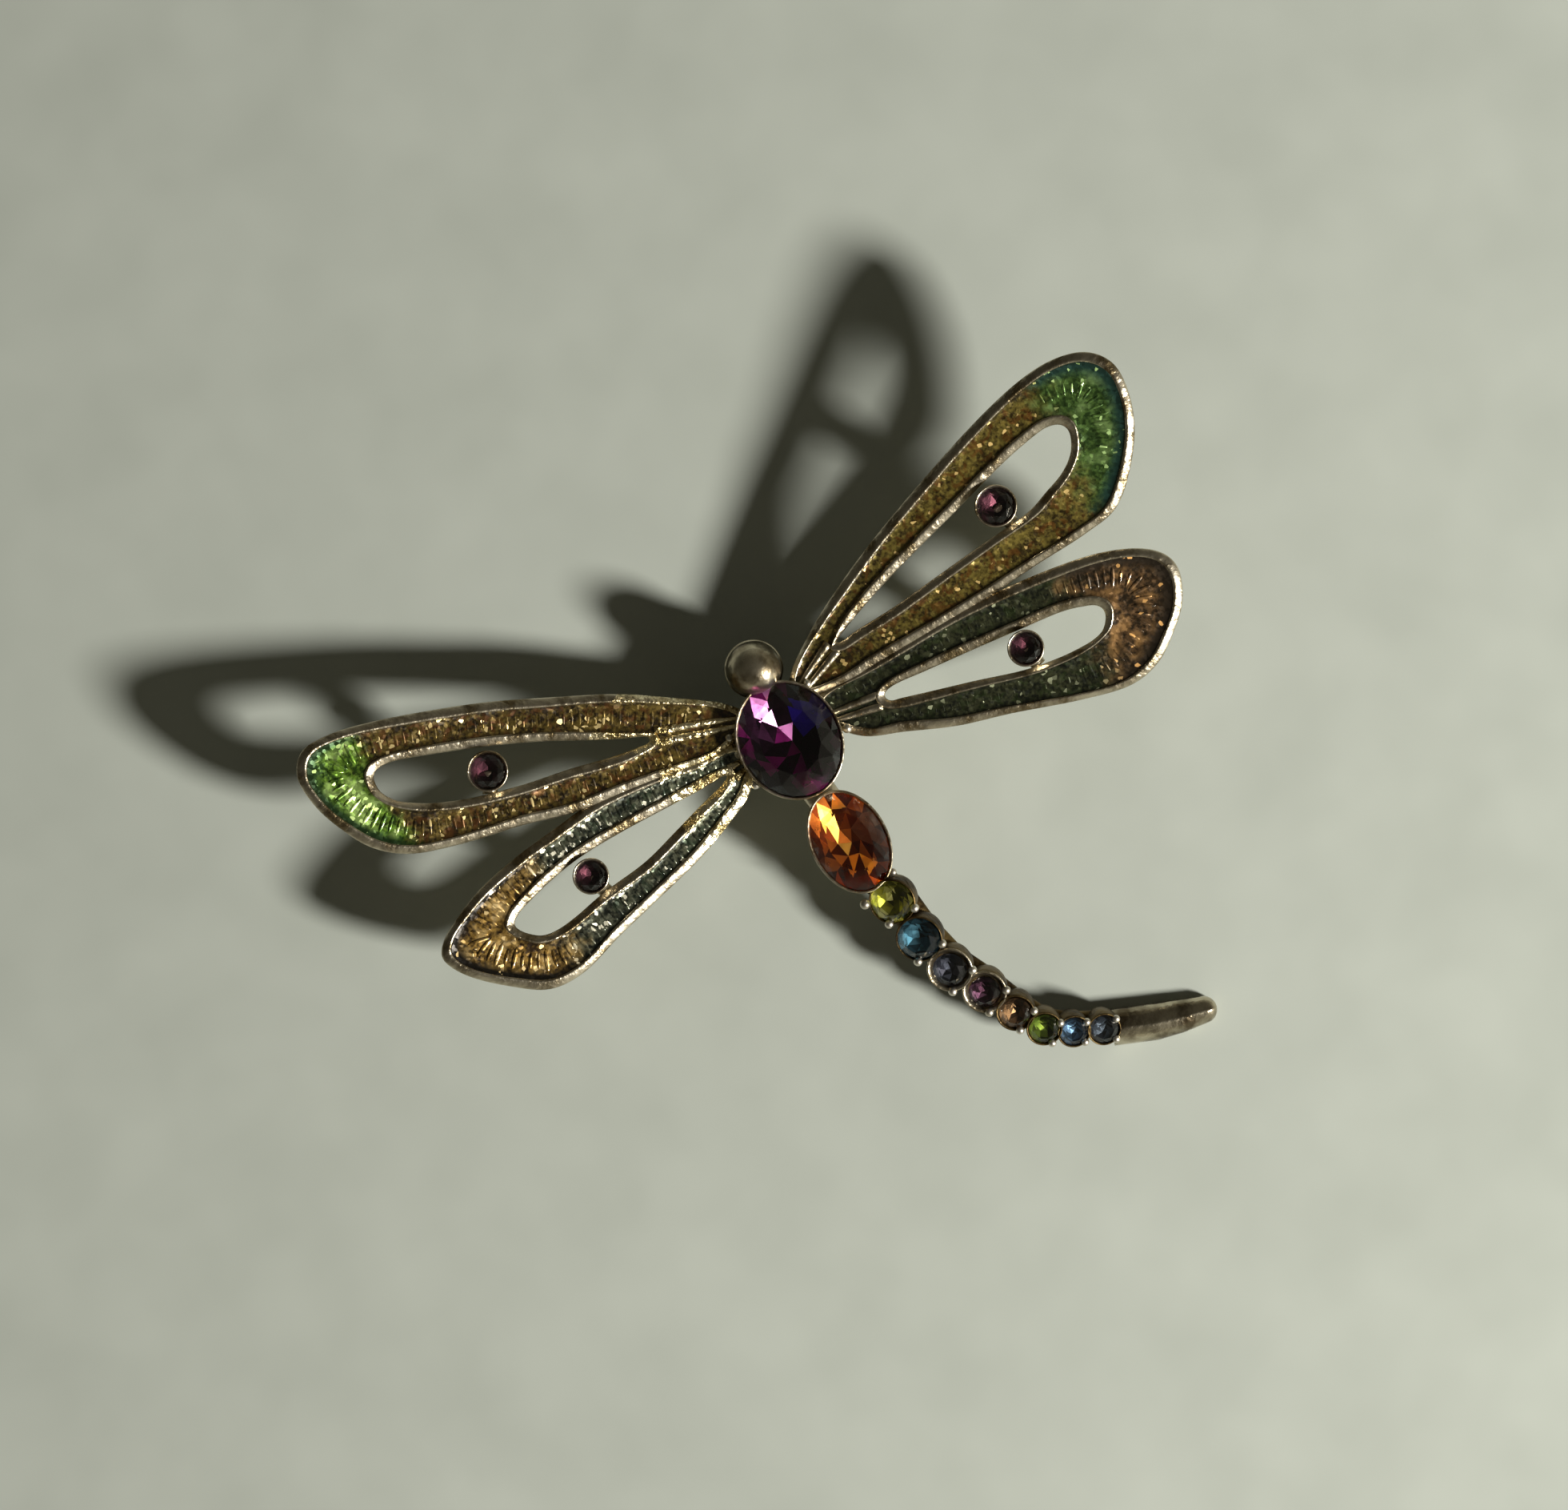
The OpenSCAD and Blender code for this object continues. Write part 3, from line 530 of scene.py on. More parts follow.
def grown_ribs(name, wing, loop, mat, rise):
    """Geometry Nodes: sets ribs across the enamel, one at each pitch along the channel, but for the root."""
    mids, spans, reach, across, ups = [], [], [], [], []
    for row in loop[STEPS:-STEPS]:
        start, step, width, drop = across_row(row, wing)
        ends = [start + step * d for d in (OUTER_RIM, width - INNER_RIM)]
        # The ribs stand prouder towards the tip
        begins, full = ENAMELS[wing][8:10]
        lift = rise + 0.05 * min(1.0, max(0.0, (abs(row[0]) - begins) / (full - begins)))
        ends = [Vector((p.x, p.y, wing_top(p.x, p.y) - drop + ENAMEL_HIGH + lift)) for p in ends]
        mids.append((ends[0] + ends[1]) / 2)
        spans.append(ends[1] - ends[0])
    for i, span in enumerate(spans):
        forward = (mids[min(i + 1, len(mids) - 1)] - mids[max(i - 1, 0)]).normalized()
        up = forward.cross(span).normalized()
        up = up if up.z > 0 else -up
        # A rib stands square to the middle line, so it is shorter than a slanting row of the table
        square = up.cross(forward)
        across.append(square)
        ups.append(up)
        reach.append(min(abs(span.dot(square)) / 2, LONGEST_RIB / 2) * MM)
    mesh = bpy.data.meshes.new(name)
    mesh.from_pydata([(p - MIDDLE) * MM for p in mids], [(i, i + 1) for i in range(len(mids) - 1)], [])
    layers = {"reach": ("FLOAT", reach), "across": ("FLOAT_VECTOR", across), "up": ("FLOAT_VECTOR", ups)}
    for key, (kind, values) in layers.items():
        layer = mesh.attributes.new(key, kind, "POINT")
        for i, v in enumerate(values):
            setattr(layer.data[i], "value" if kind == "FLOAT" else "vector", v)
    guide = in_scene(name + "_guide", mesh)

    tree = bpy.data.node_groups.new("enamel ribs", "GeometryNodeTree")
    tree.interface.new_socket("Geometry", in_out="OUTPUT", socket_type="NodeSocketGeometry")
    tree.interface.new_socket("Middle line", in_out="INPUT", socket_type="NodeSocketGeometry")
    sizes = {"Pitch": 0.58 * MM, "Rib width": 0.14 * MM, "Rib height": 0.09 * MM, "Unevenness": 0.5}
    inputs = {key: tree.interface.new_socket(key, in_out="INPUT", socket_type="NodeSocketFloat")
              for key in sizes}
    given = add(tree, "NodeGroupInput")
    line = add(tree, "GeometryNodeMeshToCurve", {"Mesh": given.outputs["Middle line"]})
    steps = add(tree, "GeometryNodeResampleCurve", {
        "Curve": line.outputs[0], "Length": given.outputs["Pitch"]}, mode="LENGTH")
    rib = add(tree, "GeometryNodeMeshUVSphere", {"Segments": 8, "Rings": 6, "Radius": 1.0})
    read = {key: add(tree, "GeometryNodeInputNamedAttribute", {"Name": key}, data_type=kind).outputs[0]
            for key, (kind, values) in layers.items()}
    turn = add(tree, "FunctionNodeAxesToRotation", {
        "Primary Axis": read["across"], "Secondary Axis": read["up"]}, primary_axis="X", secondary_axis="Z")
    dice = add(tree, "FunctionNodeRandomValue", {2: 0.0, 3: 1.0, "Seed": 11}, data_type="FLOAT")
    swing = add(tree, "ShaderNodeMath", {
        0: dice.outputs[1], 1: given.outputs["Unevenness"], 2: 0.8}, operation="MULTIPLY_ADD")
    wide = add(tree, "ShaderNodeMath", {
        0: given.outputs["Rib width"], 1: swing.outputs[0]}, operation="MULTIPLY")
    long = add(tree, "ShaderNodeMath", {0: read["reach"], 1: swing.outputs[0]}, operation="MULTIPLY")
    size = add(tree, "ShaderNodeCombineXYZ", {
        "X": long.outputs[0], "Y": wide.outputs[0], "Z": given.outputs["Rib height"]})
    ribs = add(tree, "GeometryNodeInstanceOnPoints", {
        "Points": steps.outputs[0], "Instance": rib.outputs["Mesh"], "Rotation": turn.outputs[0],
        "Scale": size.outputs[0]})
    real = add(tree, "GeometryNodeRealizeInstances", {"Geometry": ribs.outputs[0]})
    dressed = add(tree, "GeometryNodeSetMaterial", {"Geometry": real.outputs[0], "Material": mat})
    add(tree, "NodeGroupOutput", {"Geometry": dressed.outputs[0]})

    grow = guide.modifiers.new("ribs", "NODES")
    grow.node_group = tree
    for key, value in sizes.items():
        grow[inputs[key].identifier] = value
    made = bpy.data.meshes.new_from_object(guide.evaluated_get(bpy.context.evaluated_depsgraph_get()))
    bpy.data.objects.remove(guide)
    made.name = name
    ribs_piece = in_scene(name, made)
    made.polygons.foreach_set("use_smooth", [True] * len(made.polygons))
    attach(ribs_piece, "root")
    return ribs_piece


def revolved(profile, rx, ry, sides, place):
    """Cup or dome: a profile of (inset from the rim, height) turned round an oval, with None for the axis."""
    points, rings = [], []
    for inset, z in profile:
        if inset is None:
            rings.append([len(points)])
            points.append(place @ Vector((0, 0, z)))
            continue
        rings.append(list(range(len(points), len(points) + sides)))
        for k in range(sides):
            a = 2 * math.pi * k / sides
            points.append(place @ Vector(((rx - inset) * math.cos(a), (ry - inset) * math.sin(a), z)))
    faces = []
    for low, high in zip(rings, rings[1:]):
        for k in range(sides):
            j = (k + 1) % sides
            if len(low) == 1:
                faces.append((low[0], high[j], high[k]))
            elif len(high) == 1:
                faces.append((low[k], low[j], high[0]))
            else:
                faces.append((low[k], low[j], high[j], high[k]))
    return points, faces


def lip(wall, height, r):
    """Profile of a cup's rim, from its outer side over a lip rounded by r to its inner side."""
    return [(0.0, height - r * 1.6), (r * 0.35, height - r * 0.5), (r * 1.1, height), (wall - r, height),
            (wall - r * 0.3, height - r * 0.5), (wall, height - r * 1.6)]


def sloping_lip(wall, fall):
    """Profile of a round cup's rim: highest outside, and falling to the stone to throw light on it."""
    return [(0.0, 0.0), (0.03, 0.07), (0.08, 0.1), (0.4 * wall + 0.05, 0.1 - 0.38 * fall * wall),
            (wall, 0.1 - fall * wall)]


def swept(path, section):
    """Bar along a path; section(i) gives the points across and up at each step."""
    rings = []
    for i, p in enumerate(path):
        ahead = (path[min(i + 1, len(path) - 1)] - path[max(i - 1, 0)]).normalized()
        side = ahead.cross(UP).normalized()
        up = side.cross(ahead)
        rings.append([p + side * a + up * b for a, b in section(i)])
    return joined_rings(rings)


def oval_ring(a, b, count=16):
    turns = [2 * math.pi * k / count for k in range(count)]
    return [(a * math.cos(turn), b * math.sin(turn)) for turn in turns]


def merged(parts):
    """One list of points, faces and material numbers from several parts. A part may bring its faces' own
    numbers third, or one number for them all."""
    points, faces, kinds = [], [], []
    for p, f, *kind in parts:
        faces += [tuple(i + len(points) for i in face) for face in f]
        points += list(p)
        kinds += kind[0] if kind and isinstance(kind[0], list) else (kind or [0]) * len(f)
    return points, faces, kinds


def bead(centre, r, rings=8):
    """Ball of solder, or a prong's rounded end."""
    turns = [math.pi * (k / rings - 0.5) for k in range(1, rings)]
    profile = [(None, -r)] + [(r * (1 - math.cos(turn)), r * math.sin(turn)) for turn in turns] + [(None, r)]
    return revolved(profile, r, r, 2 * rings, Matrix.Translation(centre))


def tail_place(i):
    """Where a tail stone stands: leaning down the tail and over to its side."""
    a, b = Vector(TAIL[max(i - 1, 0)][:3]), Vector(TAIL[min(i + 1, len(TAIL) - 1)][:3])
    step = b - a
    pitch = math.atan2(-step.z, step.xy.length)
    return (Matrix.Translation(TAIL[i][:3]) @ Matrix.Rotation(math.atan2(step.y, step.x), 4, "Z")
            @ Matrix.Rotation(pitch, 4, "Y") @ Matrix.Rotation(math.radians(TAIL_ROLL), 4, "X"))


def wing_stone_place(wing):
    x, y = WING_STONES[wing][:2]
    return Matrix.Translation((x, y, wing_top(x, y) + 0.25))


def gem(name, node, rx, ry, mains, depth, place, looks, seed,
        base=0.42, flash=(-0.1, 0.3), second=None, spread=0.5):
    """Cut stone: table, star facets and kites in clear glass, and behind them three tiers of foiled facets.
    The foil is painted brightest round the flash, a painted highlight, and another tint, painted dispersion,
    lies round the second spot, both in shares of the stone's radii; the seed sets each facet's painted share
    of light and the cutter's small errors."""
    glass, foil, slot = looks
    dice = random.Random(seed)
    crown = CROWN * min(rx, ry)
    rim, few = 2 * mains, mains // 2
    points, faces, kinds = [], [], []

    def ring(share, z, count, turn, error=0.0):
        first = len(points)
        for k in range(count):
            a = 2 * math.pi * (k + turn) / count + math.radians(GEM_TURN)
            s = share * (1 + dice.uniform(-error, error))
            h = z * (1 + dice.uniform(-error, error))
            points.append(place @ Vector((rx * s * math.cos(a), ry * s * math.sin(a), h)))
        return [first + k for k in range(count)]

    def face(kind, *ids):
        faces.append(tuple(ids))
        kinds.append(kind)

    table = ring(TABLE, crown, mains, 0.5)
    star = ring(STAR, crown * STAR_HEIGHT, mains, 0)
    girdle = ring(1.0, 0.0, rim, 0)
    under = ring(1.0, -0.08, rim, 0)
    outer = ring(0.64, -0.5 * depth, mains, 0.5, 0.05)
    inner = ring(0.3, -0.84 * depth, few, 0.5, 0.08)
    culet = len(points)
    points.append(place @ Vector((0.04 * rx, -0.03 * ry, -depth)))
    face(0, *table)
    for k in range(mains):
        j = (k + 1) % mains
        g0, g1, g2 = girdle[2 * k], girdle[2 * k + 1], girdle[(2 * k + 2) % rim]
        u0, u1, u2 = under[2 * k], under[2 * k + 1], under[(2 * k + 2) % rim]
        face(0, table[k - 1], star[k], table[k])
        face(0, star[k], g1, star[j])
        face(0, star[k], star[j], table[k])
        face(0, star[k], g0, g1)
        face(0, star[j], g1, g2)
        face(1, u0, outer[k], u1)
        face(1, u1, outer[k], u2)
        face(1, outer[k - 1], outer[k], u0)
    for k in range(rim):
        face(1, girdle[k], under[k], under[(k + 1) % rim], girdle[(k + 1) % rim])
    for k in range(few):
        j = (k + 1) % few
        a, b, c = outer[2 * k], outer[2 * k + 1], outer[(2 * k + 2) % mains]
        face(1, a, inner[k], b)
        face(1, b, inner[k], inner[j])
        face(1, b, inner[j], c)
        face(1, inner[k], culet, inner[j])
    piece = new_piece(name, points, faces, kinds, [glass, foil], slot, smooth=False)
    painted_facet_light = piece.data.attributes.new("painted_facet_light", "FLOAT", "FACE")
    middle = place.to_translation()
    # Painted light on the foil: each facet's share of light, raised round the flash spot, with the second
    # tint as painted dispersion
    for i, ids in enumerate(faces):
        centre = sum((points[k] for k in ids), Vector()) / len(ids) - middle
        spot = Vector((centre.x / rx, centre.y / ry))
        near = max(0.0, 1.0 - (spot - Vector(flash)).length / spread)
        if second and (spot - Vector(second)).length < SECOND_REACH:
            painted_facet_light.data[i].value = 1.0
        else:
            painted_facet_light.data[i].value = min(0.9, base + FOIL_SWING * near + dice.uniform(-FOIL_SWING, FOIL_SWING))
    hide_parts(node)
    # The lamp's light passes the clear crown and reaches the foil
    piece.visible_shadow = False
    return piece


metal = plated_casting("plated zinc casting", 0.2, "#75674C", "#D0C6B0", 0.4, 0.27)
# Paler, golden colours for the left wings' coarse roots: a painted highlight
coarse = plated_casting("zinc casting with a coarse skin", 0.75, "#BCA670", "#FFF2CC", 0.4, 0.24)
polished = plated_casting("polished zinc casting", 0.06, "#7C705A", "#D8CEB6", 0.33, 0.26, 0.21)
tumbled = plated_casting("tumbled zinc casting", 0.12, "#665A47", "#C8BEA6", 0.34, 0.22, 0.16)
# Darker, rougher metal as painted shade: the tail cups' sides under the lip, their narrow lips and the bar
# under them
flank = plated_casting("painted_shade_dark plated zinc casting", 0.2, "#33281A", "#6E5C3A", 0.5, 0.36)
solder = plated_casting("soft solder", 0.05, "#B8B0A0", "#DAD4C8", 0.42, 0.34)
steel = drawn_steel()

# Wings: casting, enamel and ribs
for wing, rows in WINGS.items():
    loop = spline_loop(rows, STEPS)
    points, faces = joined_rings([placed(row, wing, rim_section) for row in loop], closed_path=True)
    # The left wings' casting kept a coarse skin at the root, where the tumbling didn't reach, and is paler
    # there as a painted highlight
    ring_size = len(points) // len(loop)
    kinds = [int(-COARSE_PAINTED_HIGHLIGHT_ROOT < loop[i // ring_size][0] < 0 and i % ring_size < ring_size - 6)
             for i in range(len(faces))]
    wedge = (*inner_wedge(wing, rows[0]), int("left" in wing))
    casting = merged([(points, faces, kinds), wedge])
    new_piece("wing_" + wing, *casting, [metal, coarse], "cast_metal")
    points, faces = joined_rings([placed(row, wing, enamel_section) for row in loop], closed_path=True)
    slot = wing.split("_")[1] + "_enamel"
    skin = new_piece("enamel_skin_" + wing, points, faces, [], [fired_enamel(wing, False)], slot)
    # Across the channel V runs from 0 at the outer rim to 1 at the opening; U counts the loop's steps
    ring_size = len(points) // len(loop)
    channel = skin.data.uv_layers.new(name="channel")
    across = [channel_share(k) for k in range(ENAMEL_STEPS + 1)] + [1.0, 0.0]
    for corner in skin.data.loops:
        step, k = divmod(corner.vertex_index, ring_size)
        channel.data[corner.index].uv = (step / len(loop), across[k])
    ribs = grown_ribs("enamel_ribs_" + wing, wing, loop, fired_enamel(wing, True), RIBS[wing][0])
    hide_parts("enamel_" + wing)

# Head: a dome on a thin flange
flange_r = HEAD_RADIUS + HEAD_FLANGE
head = [(None, 0.0), (0.1, 0.0), (0.0, 0.08), (0.0, 0.5), (0.04, 0.58), (HEAD_FLANGE, 0.62)]
for k in range(20):
    a = math.pi / 2 * k / 20
    head.append((flange_r - HEAD_RADIUS * math.cos(a), HEAD_SPRING + HEAD_RADIUS * math.sin(a)))
head.append((None, HEAD_SPRING + HEAD_RADIUS))
dome = revolved(head, flange_r, flange_r, HEAD_SIDES, Matrix.Translation(HEAD))
new_piece("head_dome", *dome, [], [polished], "cast_metal")

# Oval cups, their bridge and the beads of solder beside them
cups = []
for x, y, width, length, under, rim, depth in OVALS.values():
    seat = rim - GIRDLE_UNDER_RIM - depth - 0.1
    profile = [(None, under), (0.5, under), (0.12, under + 0.1), (0.0, under + 0.4),
               *lip(OVAL_WALL, rim - 0.06, 0.05),
               (OVAL_WALL, rim - 0.3), (0.3, rim - 0.4), (0.3, seat + 0.2), (0.5, seat), (None, seat)]
    cups.append(revolved(profile, width / 2, length / 2, OVAL_SIDES, Matrix.Translation((x, y, 0))))
bridge = [Vector((-0.25 + 0.06 * k, -2.6 - 0.45 * k, 4.6 - 0.05 * k)) for k in range(8)]
cups.append(swept(bridge, lambda i: oval_ring(1.25, 0.85, 24)))
for x, y, z, r in SOLDER_BEADS:
    cups.append((*bead(Vector((x, y, z)), r), 1))
new_piece("body_cups", *merged(cups), [metal, solder], "cast_metal")

# Tail: cups that lean over, the bar under them, prong beads and the tapered tip
tail = []
for i, (x, y, z, r, wall) in enumerate(TAIL):
    outer = r + STONE_GAP + ROUND_WALL
    outside = [(None, -2.1), (outer * 0.35, -2.1), (outer * 0.16, -1.9), (0.04, -1.2)]
    profile = outside + sloping_lip(wall, 0.95) + [(wall, -1.1), (None, -1.3)]
    # The sides under the lip and the narrow lips take a darker metal, as painted shade
    under_lip = len(outside) * ROUND_SIDES
    rest = (len(profile) - 1) * ROUND_SIDES - under_lip
    kinds = [1] * under_lip + [int(wall < 0.3)] * rest
    tail.append((*revolved(profile, outer, outer, ROUND_SIDES, tail_place(i)), kinds))
    # Two prong beads hold each stone against the next
    for side in (-0.8, 0.74):
        tail.append((*bead(tail_place(i) @ Vector((0.86 * r, side * r, 0.0)), 0.22 + 0.08 * r), 2))
# The bar under the cups takes the darker metal too, as painted shade
bar = [tail_place(i) @ Vector((0, 0, -1.62)) for i in range(len(TAIL))]
bar = [Vector((0.5, -11.4, 3.9))] + bar + [Vector((10.9, -29.35, 1.0))]
widths = [1.2] + [0.86 * row[3] for row in TAIL] + [0.9]
tail.append((*swept(bar, lambda i: oval_ring(widths[i], 0.5, 20)), 1))
new_piece("tail_cups", *merged(tail), [metal, flank, solder], "cast_metal")


def tip_section(width, height):
    """Roof-like section of the tail's tip, with a soft ridge and rounded flanks, from z = 0 up."""
    half = width / 2
    return [(half * a, height * b) for a, b in (
        (1.0, 0.32), (0.93, 0.55), (0.74, 0.74), (0.5, 0.88), (0.24, 0.96), (0.1, 1.0), (0.0, 0.985),
        (-0.16, 0.94), (-0.42, 0.9), (-0.68, 0.8), (-0.9, 0.6), (-1.0, 0.36), (-0.94, 0.12), (-0.7, 0.0),
        (0.7, 0.0), (0.93, 0.1))]


tip_rows = []
for k in range(TIP_STEPS + 1):
    t = k / TIP_STEPS * (len(TAIL_TIP) - 1)
    i = min(int(t), len(TAIL_TIP) - 2)
    a, b = TAIL_TIP[i], TAIL_TIP[i + 1]
    tip_rows.append([p + (q - p) * (t - i) for p, q in zip(a, b)])
tip_path = [Vector((x, y, 0.0)) for x, y, w, h in tip_rows]
rings = []
for i, (x, y, w, h) in enumerate(tip_rows):
    ahead = (tip_path[min(i + 1, TIP_STEPS)] - tip_path[max(i - 1, 0)]).normalized()
    side = ahead.cross(UP)
    rings.append([tip_path[i] + side * a + UP * b for a, b in tip_section(w, h)])
# The last section shrinks round the blunt end, about 0.42 of its height
core = h * 0.42
for k in range(1, END_STEPS):
    angle = math.pi / 2 * k / END_STEPS
    beyond, shrink = math.sin(angle) * w / 2, math.cos(angle)
    rings.append([tip_path[-1] + ahead * beyond + side * a * shrink
                  + UP * (core + (b - core) * (0.25 + 0.75 * shrink)) for a, b in tip_section(w, h)])
new_piece("tail_tip", *joined_rings(rings), [], [tumbled], "cast_metal")

# Cups and stems of the wing stones
stands = []
for wing, (x, y, r, fx, fy) in WING_STONES.items():
    outer = r + STONE_GAP + ROUND_WALL
    profile = [(None, -1.78), (outer * 0.4, -1.78), (outer * 0.2, -1.6), (0.06, -1.0),
               *sloping_lip(WING_STONE_LIP, 0.56), (WING_STONE_LIP, -0.95), (None, -1.15)]
    stands.append(revolved(profile, outer, outer, ROUND_SIDES, wing_stone_place(wing)))
    top, foot = wing_top(x, y), wing_top(fx, fy) - (HIND_DROP if "hind" in wing else 0.0)
    stem = [Vector((x + (fx - x) * s, y + (fy - y) * s, top + (foot - top) * s - 0.85))
            for s in [k / 8 for k in range(9)]]
    stands.append(swept(stem, lambda i: oval_ring(0.56, 0.42)))
new_piece("wing_stone_cups", *merged(stands), [metal], "cast_metal")
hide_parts("cast_frame")

# Columns: name, glass, the foil's dark, middle, bright (painted flash) and other (painted dispersion) facets,
# its roughness, record slot
STONES = {
    "thorax_stone": ("amethyst", "#EED0EA", "#12060F", "#5A1246", "#FFB0EC", "#2A1C8C", 0.3, "purple_stone"),
    "abdomen_stone": ("amber", "#FFEED8", "#54220C", "#B8682A", "#FFCE60", "#84543E", 0.3, "amber_stone"),
    "plum": ("plum", "#E8DADC", "#1C0F13", "#2E1A20", "#482A32", "#2A1C20", 0.45, "plum_stone"),
    "tail_stone_1": ("olive", "#F6F6DC", "#4C4E16", "#8E8C34", "#FFFCB0", "#7C8030", 0.3, "olive_stone"),
    "tail_stone_2": ("teal", "#DCE8EC", "#14242A", "#33525E", "#40626E", "#203640", 0.5, "teal_stone"),
    "tail_stone_3": ("navy", "#DCDEE4", "#1A1B20", "#32343A", "#404046", "#26272E", 0.5, "navy_stone"),
    "tail_stone_4": ("violet", "#E4D8E0", "#1A0F14", "#2E1D26", "#3C2834", "#241824", 0.45, "violet_stone"),
    "tail_stone_5": ("topaz", "#F0E4D0", "#30251A", "#5C4834", "#6C573F", "#463626", 0.5, "topaz_stone"),
    "tail_stone_6": ("green", "#E4ECCC", "#24290C", "#4E5A22", "#5E6E30", "#3A4216", 0.45, "green_stone"),
    "tail_stone_7": ("blue", "#DCE6EE", "#24303A", "#44586A", "#4E6478", "#324250", 0.5, "blue_stone"),
    "tail_stone_8": ("dark blue", "#DCE0E4", "#1A1C20", "#3A4046", "#464B52", "#262A30", 0.5, "navy_stone"),
}
looks = {key: (cut_glass(name, tint), mirror_foil(name, *foil), slot)
         for key, (name, tint, *foil, slot) in STONES.items()}
for key, (x, y, width, length, under, rim, depth) in OVALS.items():
    rx, ry = (s / 2 - 0.2 for s in (width, length))
    gem("gem_" + key, key + "_stone", rx, ry, 12, depth, Matrix.Translation((x, y, rim - GIRDLE_UNDER_RIM)),
        looks[key + "_stone"], *OVAL_PAINTED_FLASH[key])
for i, wing in enumerate(WINGS):
    r = WING_STONES[wing][2] + STONE_GAP + ROUND_WALL - WING_STONE_LIP
    gem("gem_wing_" + wing, "wing_stone_" + wing, r, r, 8, ROUND_DEPTH * r, wing_stone_place(wing),
        looks["plum"], 20 + i)
for i, (x, y, z, r, wall) in enumerate(TAIL):
    r += STONE_GAP + ROUND_WALL - wall
    node = f"tail_stone_{i + 1}"
    gem(f"gem_tail_{i + 1}", node, r, r, 8, ROUND_DEPTH * r, tail_place(i), looks[node], 40 + i)

# Pin back: strip under the body, hinge block, catch with an open slot, and the pin between them
strip_l, strip_w, strip_t = STRIP
hinge_x, catch_x = (HINGE_L - strip_l) / 2, (strip_l - CATCH_L) / 2
half, block_top = strip_w / 2, STRIP_TOP - strip_t / 2
block_outline = [(-half, 0.0), (half, 0.0), (half, block_top), (-half, block_top)]
low, high, deep = PIN_Z - CATCH_SLOT / 2, PIN_Z + CATCH_SLOT / 2, CATCH_SLOT / 2
catch_outline = block_outline + [(-half, high), (deep, high), (deep, low), (-half, low)]
strip_low = STRIP_TOP - strip_t
strip_outline = [(-half, strip_low), (half, strip_low), (half, STRIP_TOP), (-half, STRIP_TOP)]
blocks = []
for outline, x, length in ((strip_outline, 0.0, strip_l), (block_outline, hinge_x, HINGE_L),
                           (catch_outline, catch_x, CATCH_L)):
    blocks.append(joined_rings([[Vector((end, PIN_Y + y, z)) for y, z in outline]
                                for end in (x - length / 2, x + length / 2)]))
back = new_piece("pin_bar", *merged(blocks), [steel], "pin_metal", smooth=False)
eased = bmesh.new()
eased.from_mesh(back.data)
bmesh.ops.bevel(eased, geom=eased.edges[:], offset=0.14 * MM, segments=3, affect="EDGES", profile=0.5)
eased.to_mesh(back.data)
eased.free()
# Pairs: distance from the hinge, share of the pin's thickness there
needle = [(0.0, 1.0), (PIN_L, 1.0), (PIN_L + 0.5 * PIN_POINT, 0.72), (PIN_L + 0.9 * PIN_POINT, 0.32),
          (PIN_L + PIN_POINT, 0.12)]
pin = swept([Vector((hinge_x + x, PIN_Y, PIN_Z)) for x, share in needle],
            lambda i: oval_ring(PIN_D / 2 * needle[i][1], PIN_D / 2 * needle[i][1], 24))
new_piece("pin_needle", *pin, [], [steel], "pin_metal")
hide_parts("pin_back")

# Floor: matt pressed sheet, pale grey-green, with clouds 9 mm wide that are hardly there
floor_mat, tree = new_material("matt pale tabletop")
where = add(tree, "ShaderNodeTexCoord").outputs["Object"]
cloud = add(tree, "ShaderNodeTexNoise", {"Vector": where, "Scale": per_mm(9.0)})
tone = add(tree, "ShaderNodeValToRGB", {"Fac": cloud.outputs["Fac"]},
           stops=[(0.3, linear("#9CA199")), (0.7, linear("#A3A8A0"))])
shader = add(tree, "ShaderNodeBsdfPrincipled", {
    "Base Color": tone.outputs["Color"], "Roughness": 0.9, "Specular IOR Level": 0.1})
add(tree, "ShaderNodeOutputMaterial", {"Surface": shader.outputs[0]})
FLOOR = 1.5
floor_mesh = bpy.data.meshes.new("floor")
floor_mesh.from_pydata([(-FLOOR, -FLOOR, 0), (FLOOR, -FLOOR, 0), (FLOOR, FLOOR, 0), (-FLOOR, FLOOR, 0)],
                       [], [(0, 1, 2, 3)])
floor_mesh.materials.append(floor_mat)
floor = in_scene("floor", floor_mesh)

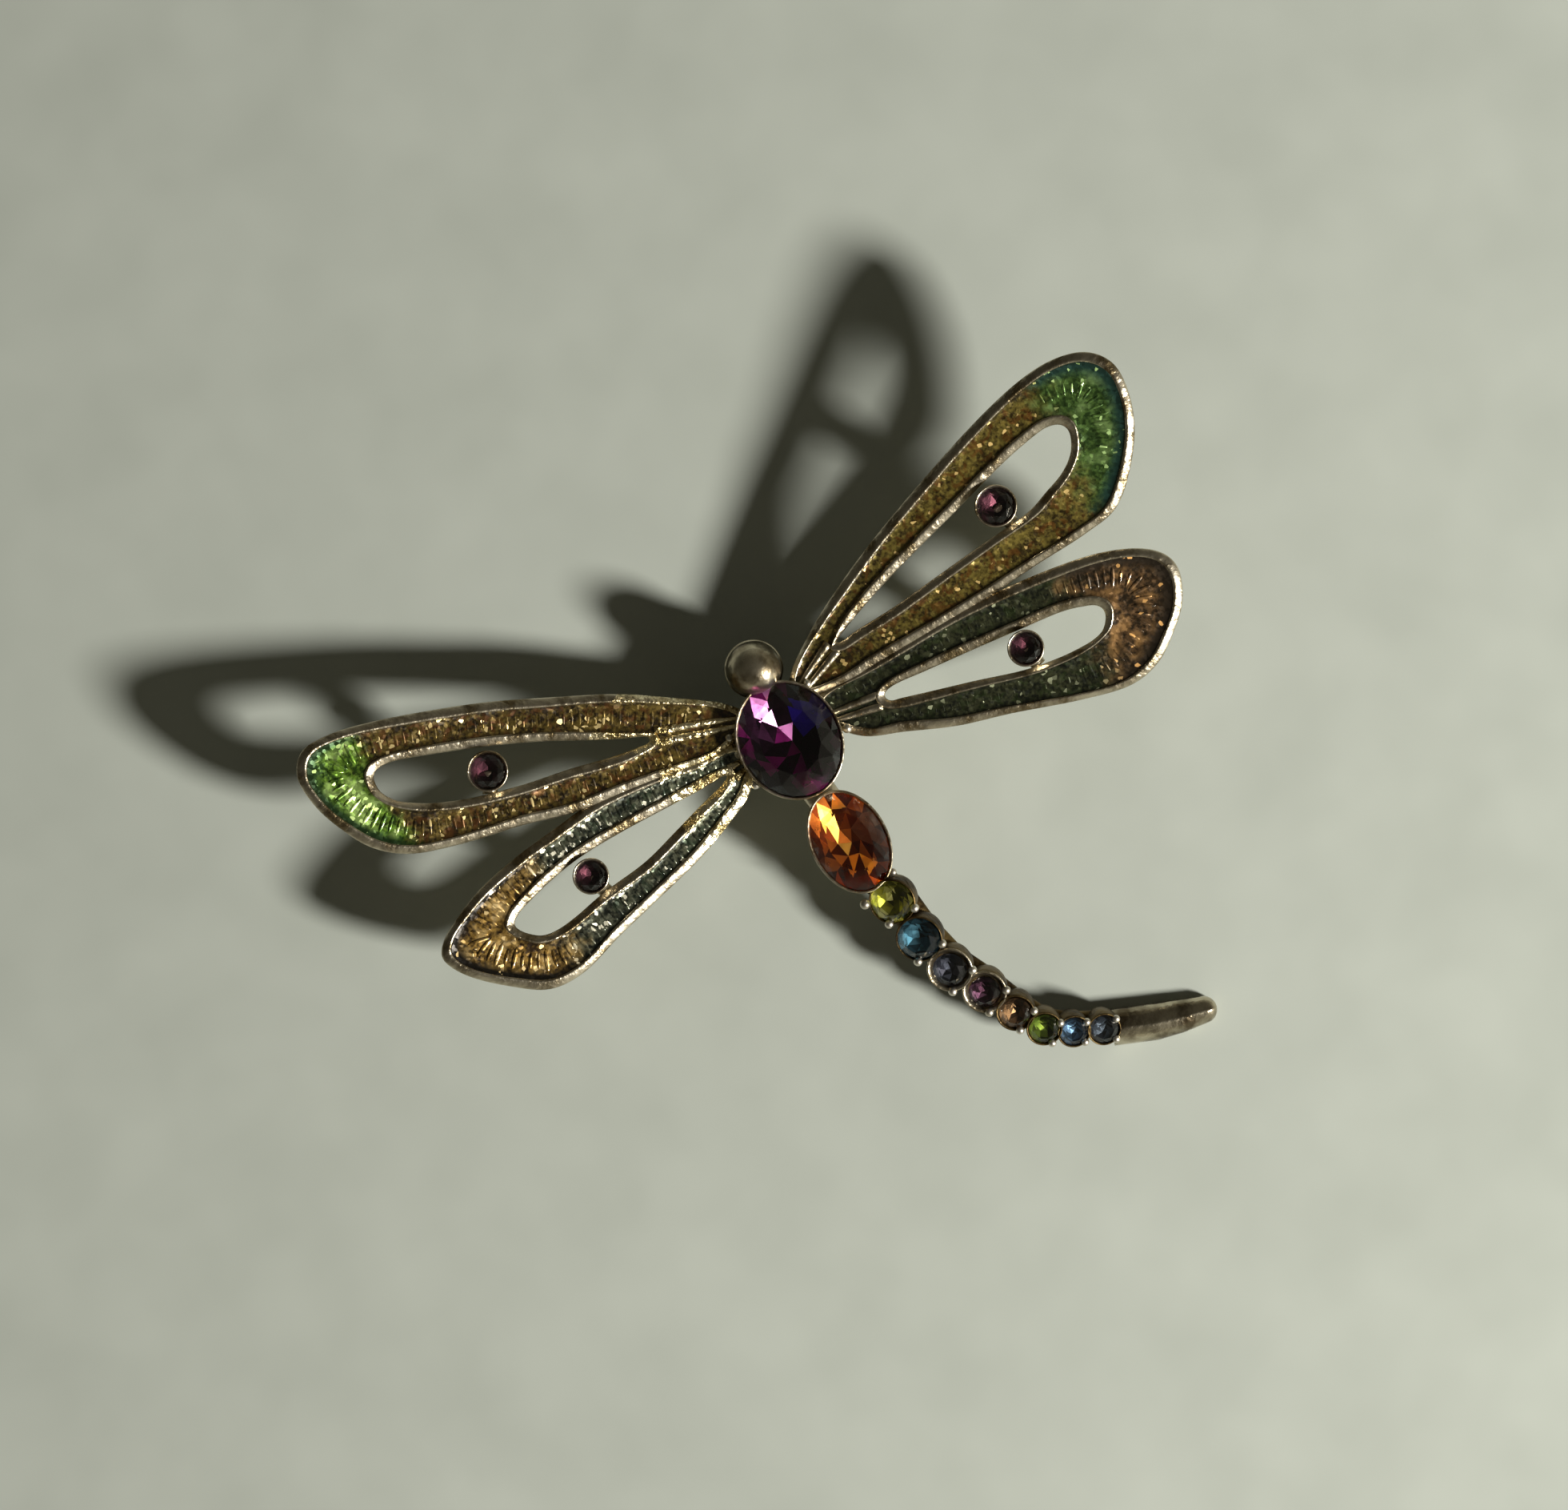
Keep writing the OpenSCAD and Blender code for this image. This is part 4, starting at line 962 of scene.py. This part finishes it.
# Key: a round soft box 0.1 m wide, 0.6 m from the thorax
key_data = bpy.data.lights.new("key", "AREA")
key_data.shape = "ELLIPSE"
key_data.size = 0.1
key_data.size_y = 0.1
key_data.energy = 8.0
key_data.color = (1.0, 0.97, 0.91)
key = in_scene("key", key_data)
key.location = LAMP.normalized() * 0.6 + Vector((0, 0.008, 0.005))
key.rotation_euler = LAMP.normalized().to_track_quat("Z", "Y").to_euler()

# Studio: dark overhead, paler towards the walls and palest on the lamp's side
world = bpy.data.worlds.new("dim studio")
bpy.context.scene.world = world
world.use_nodes = True
tree = world.node_tree
towards = add(tree, "ShaderNodeTexCoord").outputs["Generated"]
height = add(tree, "ShaderNodeSeparateXYZ", {"Vector": towards})
walls = add(tree, "ShaderNodeValToRGB", {"Fac": height.outputs["Z"]}, stops=[
    (0.0, linear("#8E8C80")), (1.0, linear("#34322C")), (0.22, linear("#7E7C6E")), (0.5, linear("#48453B"))])
beside_lamp = add(tree, "ShaderNodeVectorMath", {0: towards, 1: LAMP}, operation="DOT_PRODUCT")
strength = add(tree, "ShaderNodeMapRange", {
    "Value": beside_lamp.outputs["Value"], "From Min": -0.8, "From Max": 0.9, "To Min": 0.25, "To Max": 2.0})
tree.links.new(walls.outputs["Color"], tree.nodes["Background"].inputs["Color"])
tree.links.new(strength.outputs["Result"], tree.nodes["Background"].inputs["Strength"])

# Camera: straight down, rolled as in the photograph, whose pixels are 0.0575 mm each on the brooch
CAMERA_HEIGHT, PHOTO_WIDTH, PIXEL = 0.9, 1960, 0.0575
camera_data = bpy.data.cameras.new("camera")
camera_data.sensor_width = 36.0
camera_data.lens = 36.0 * CAMERA_HEIGHT / (PHOTO_WIDTH * PIXEL * MM)
camera = in_scene("camera", camera_data)
camera.location = (-0.00126, 0.00742, CAMERA_HEIGHT + 0.006)
camera.rotation_euler = (0.0, 0.0, math.atan2(-0.473, 0.881))
bpy.context.scene.camera = camera

# The photograph's contrast is that of a plain camera picture
bpy.context.scene.view_settings.view_transform = "Standard"
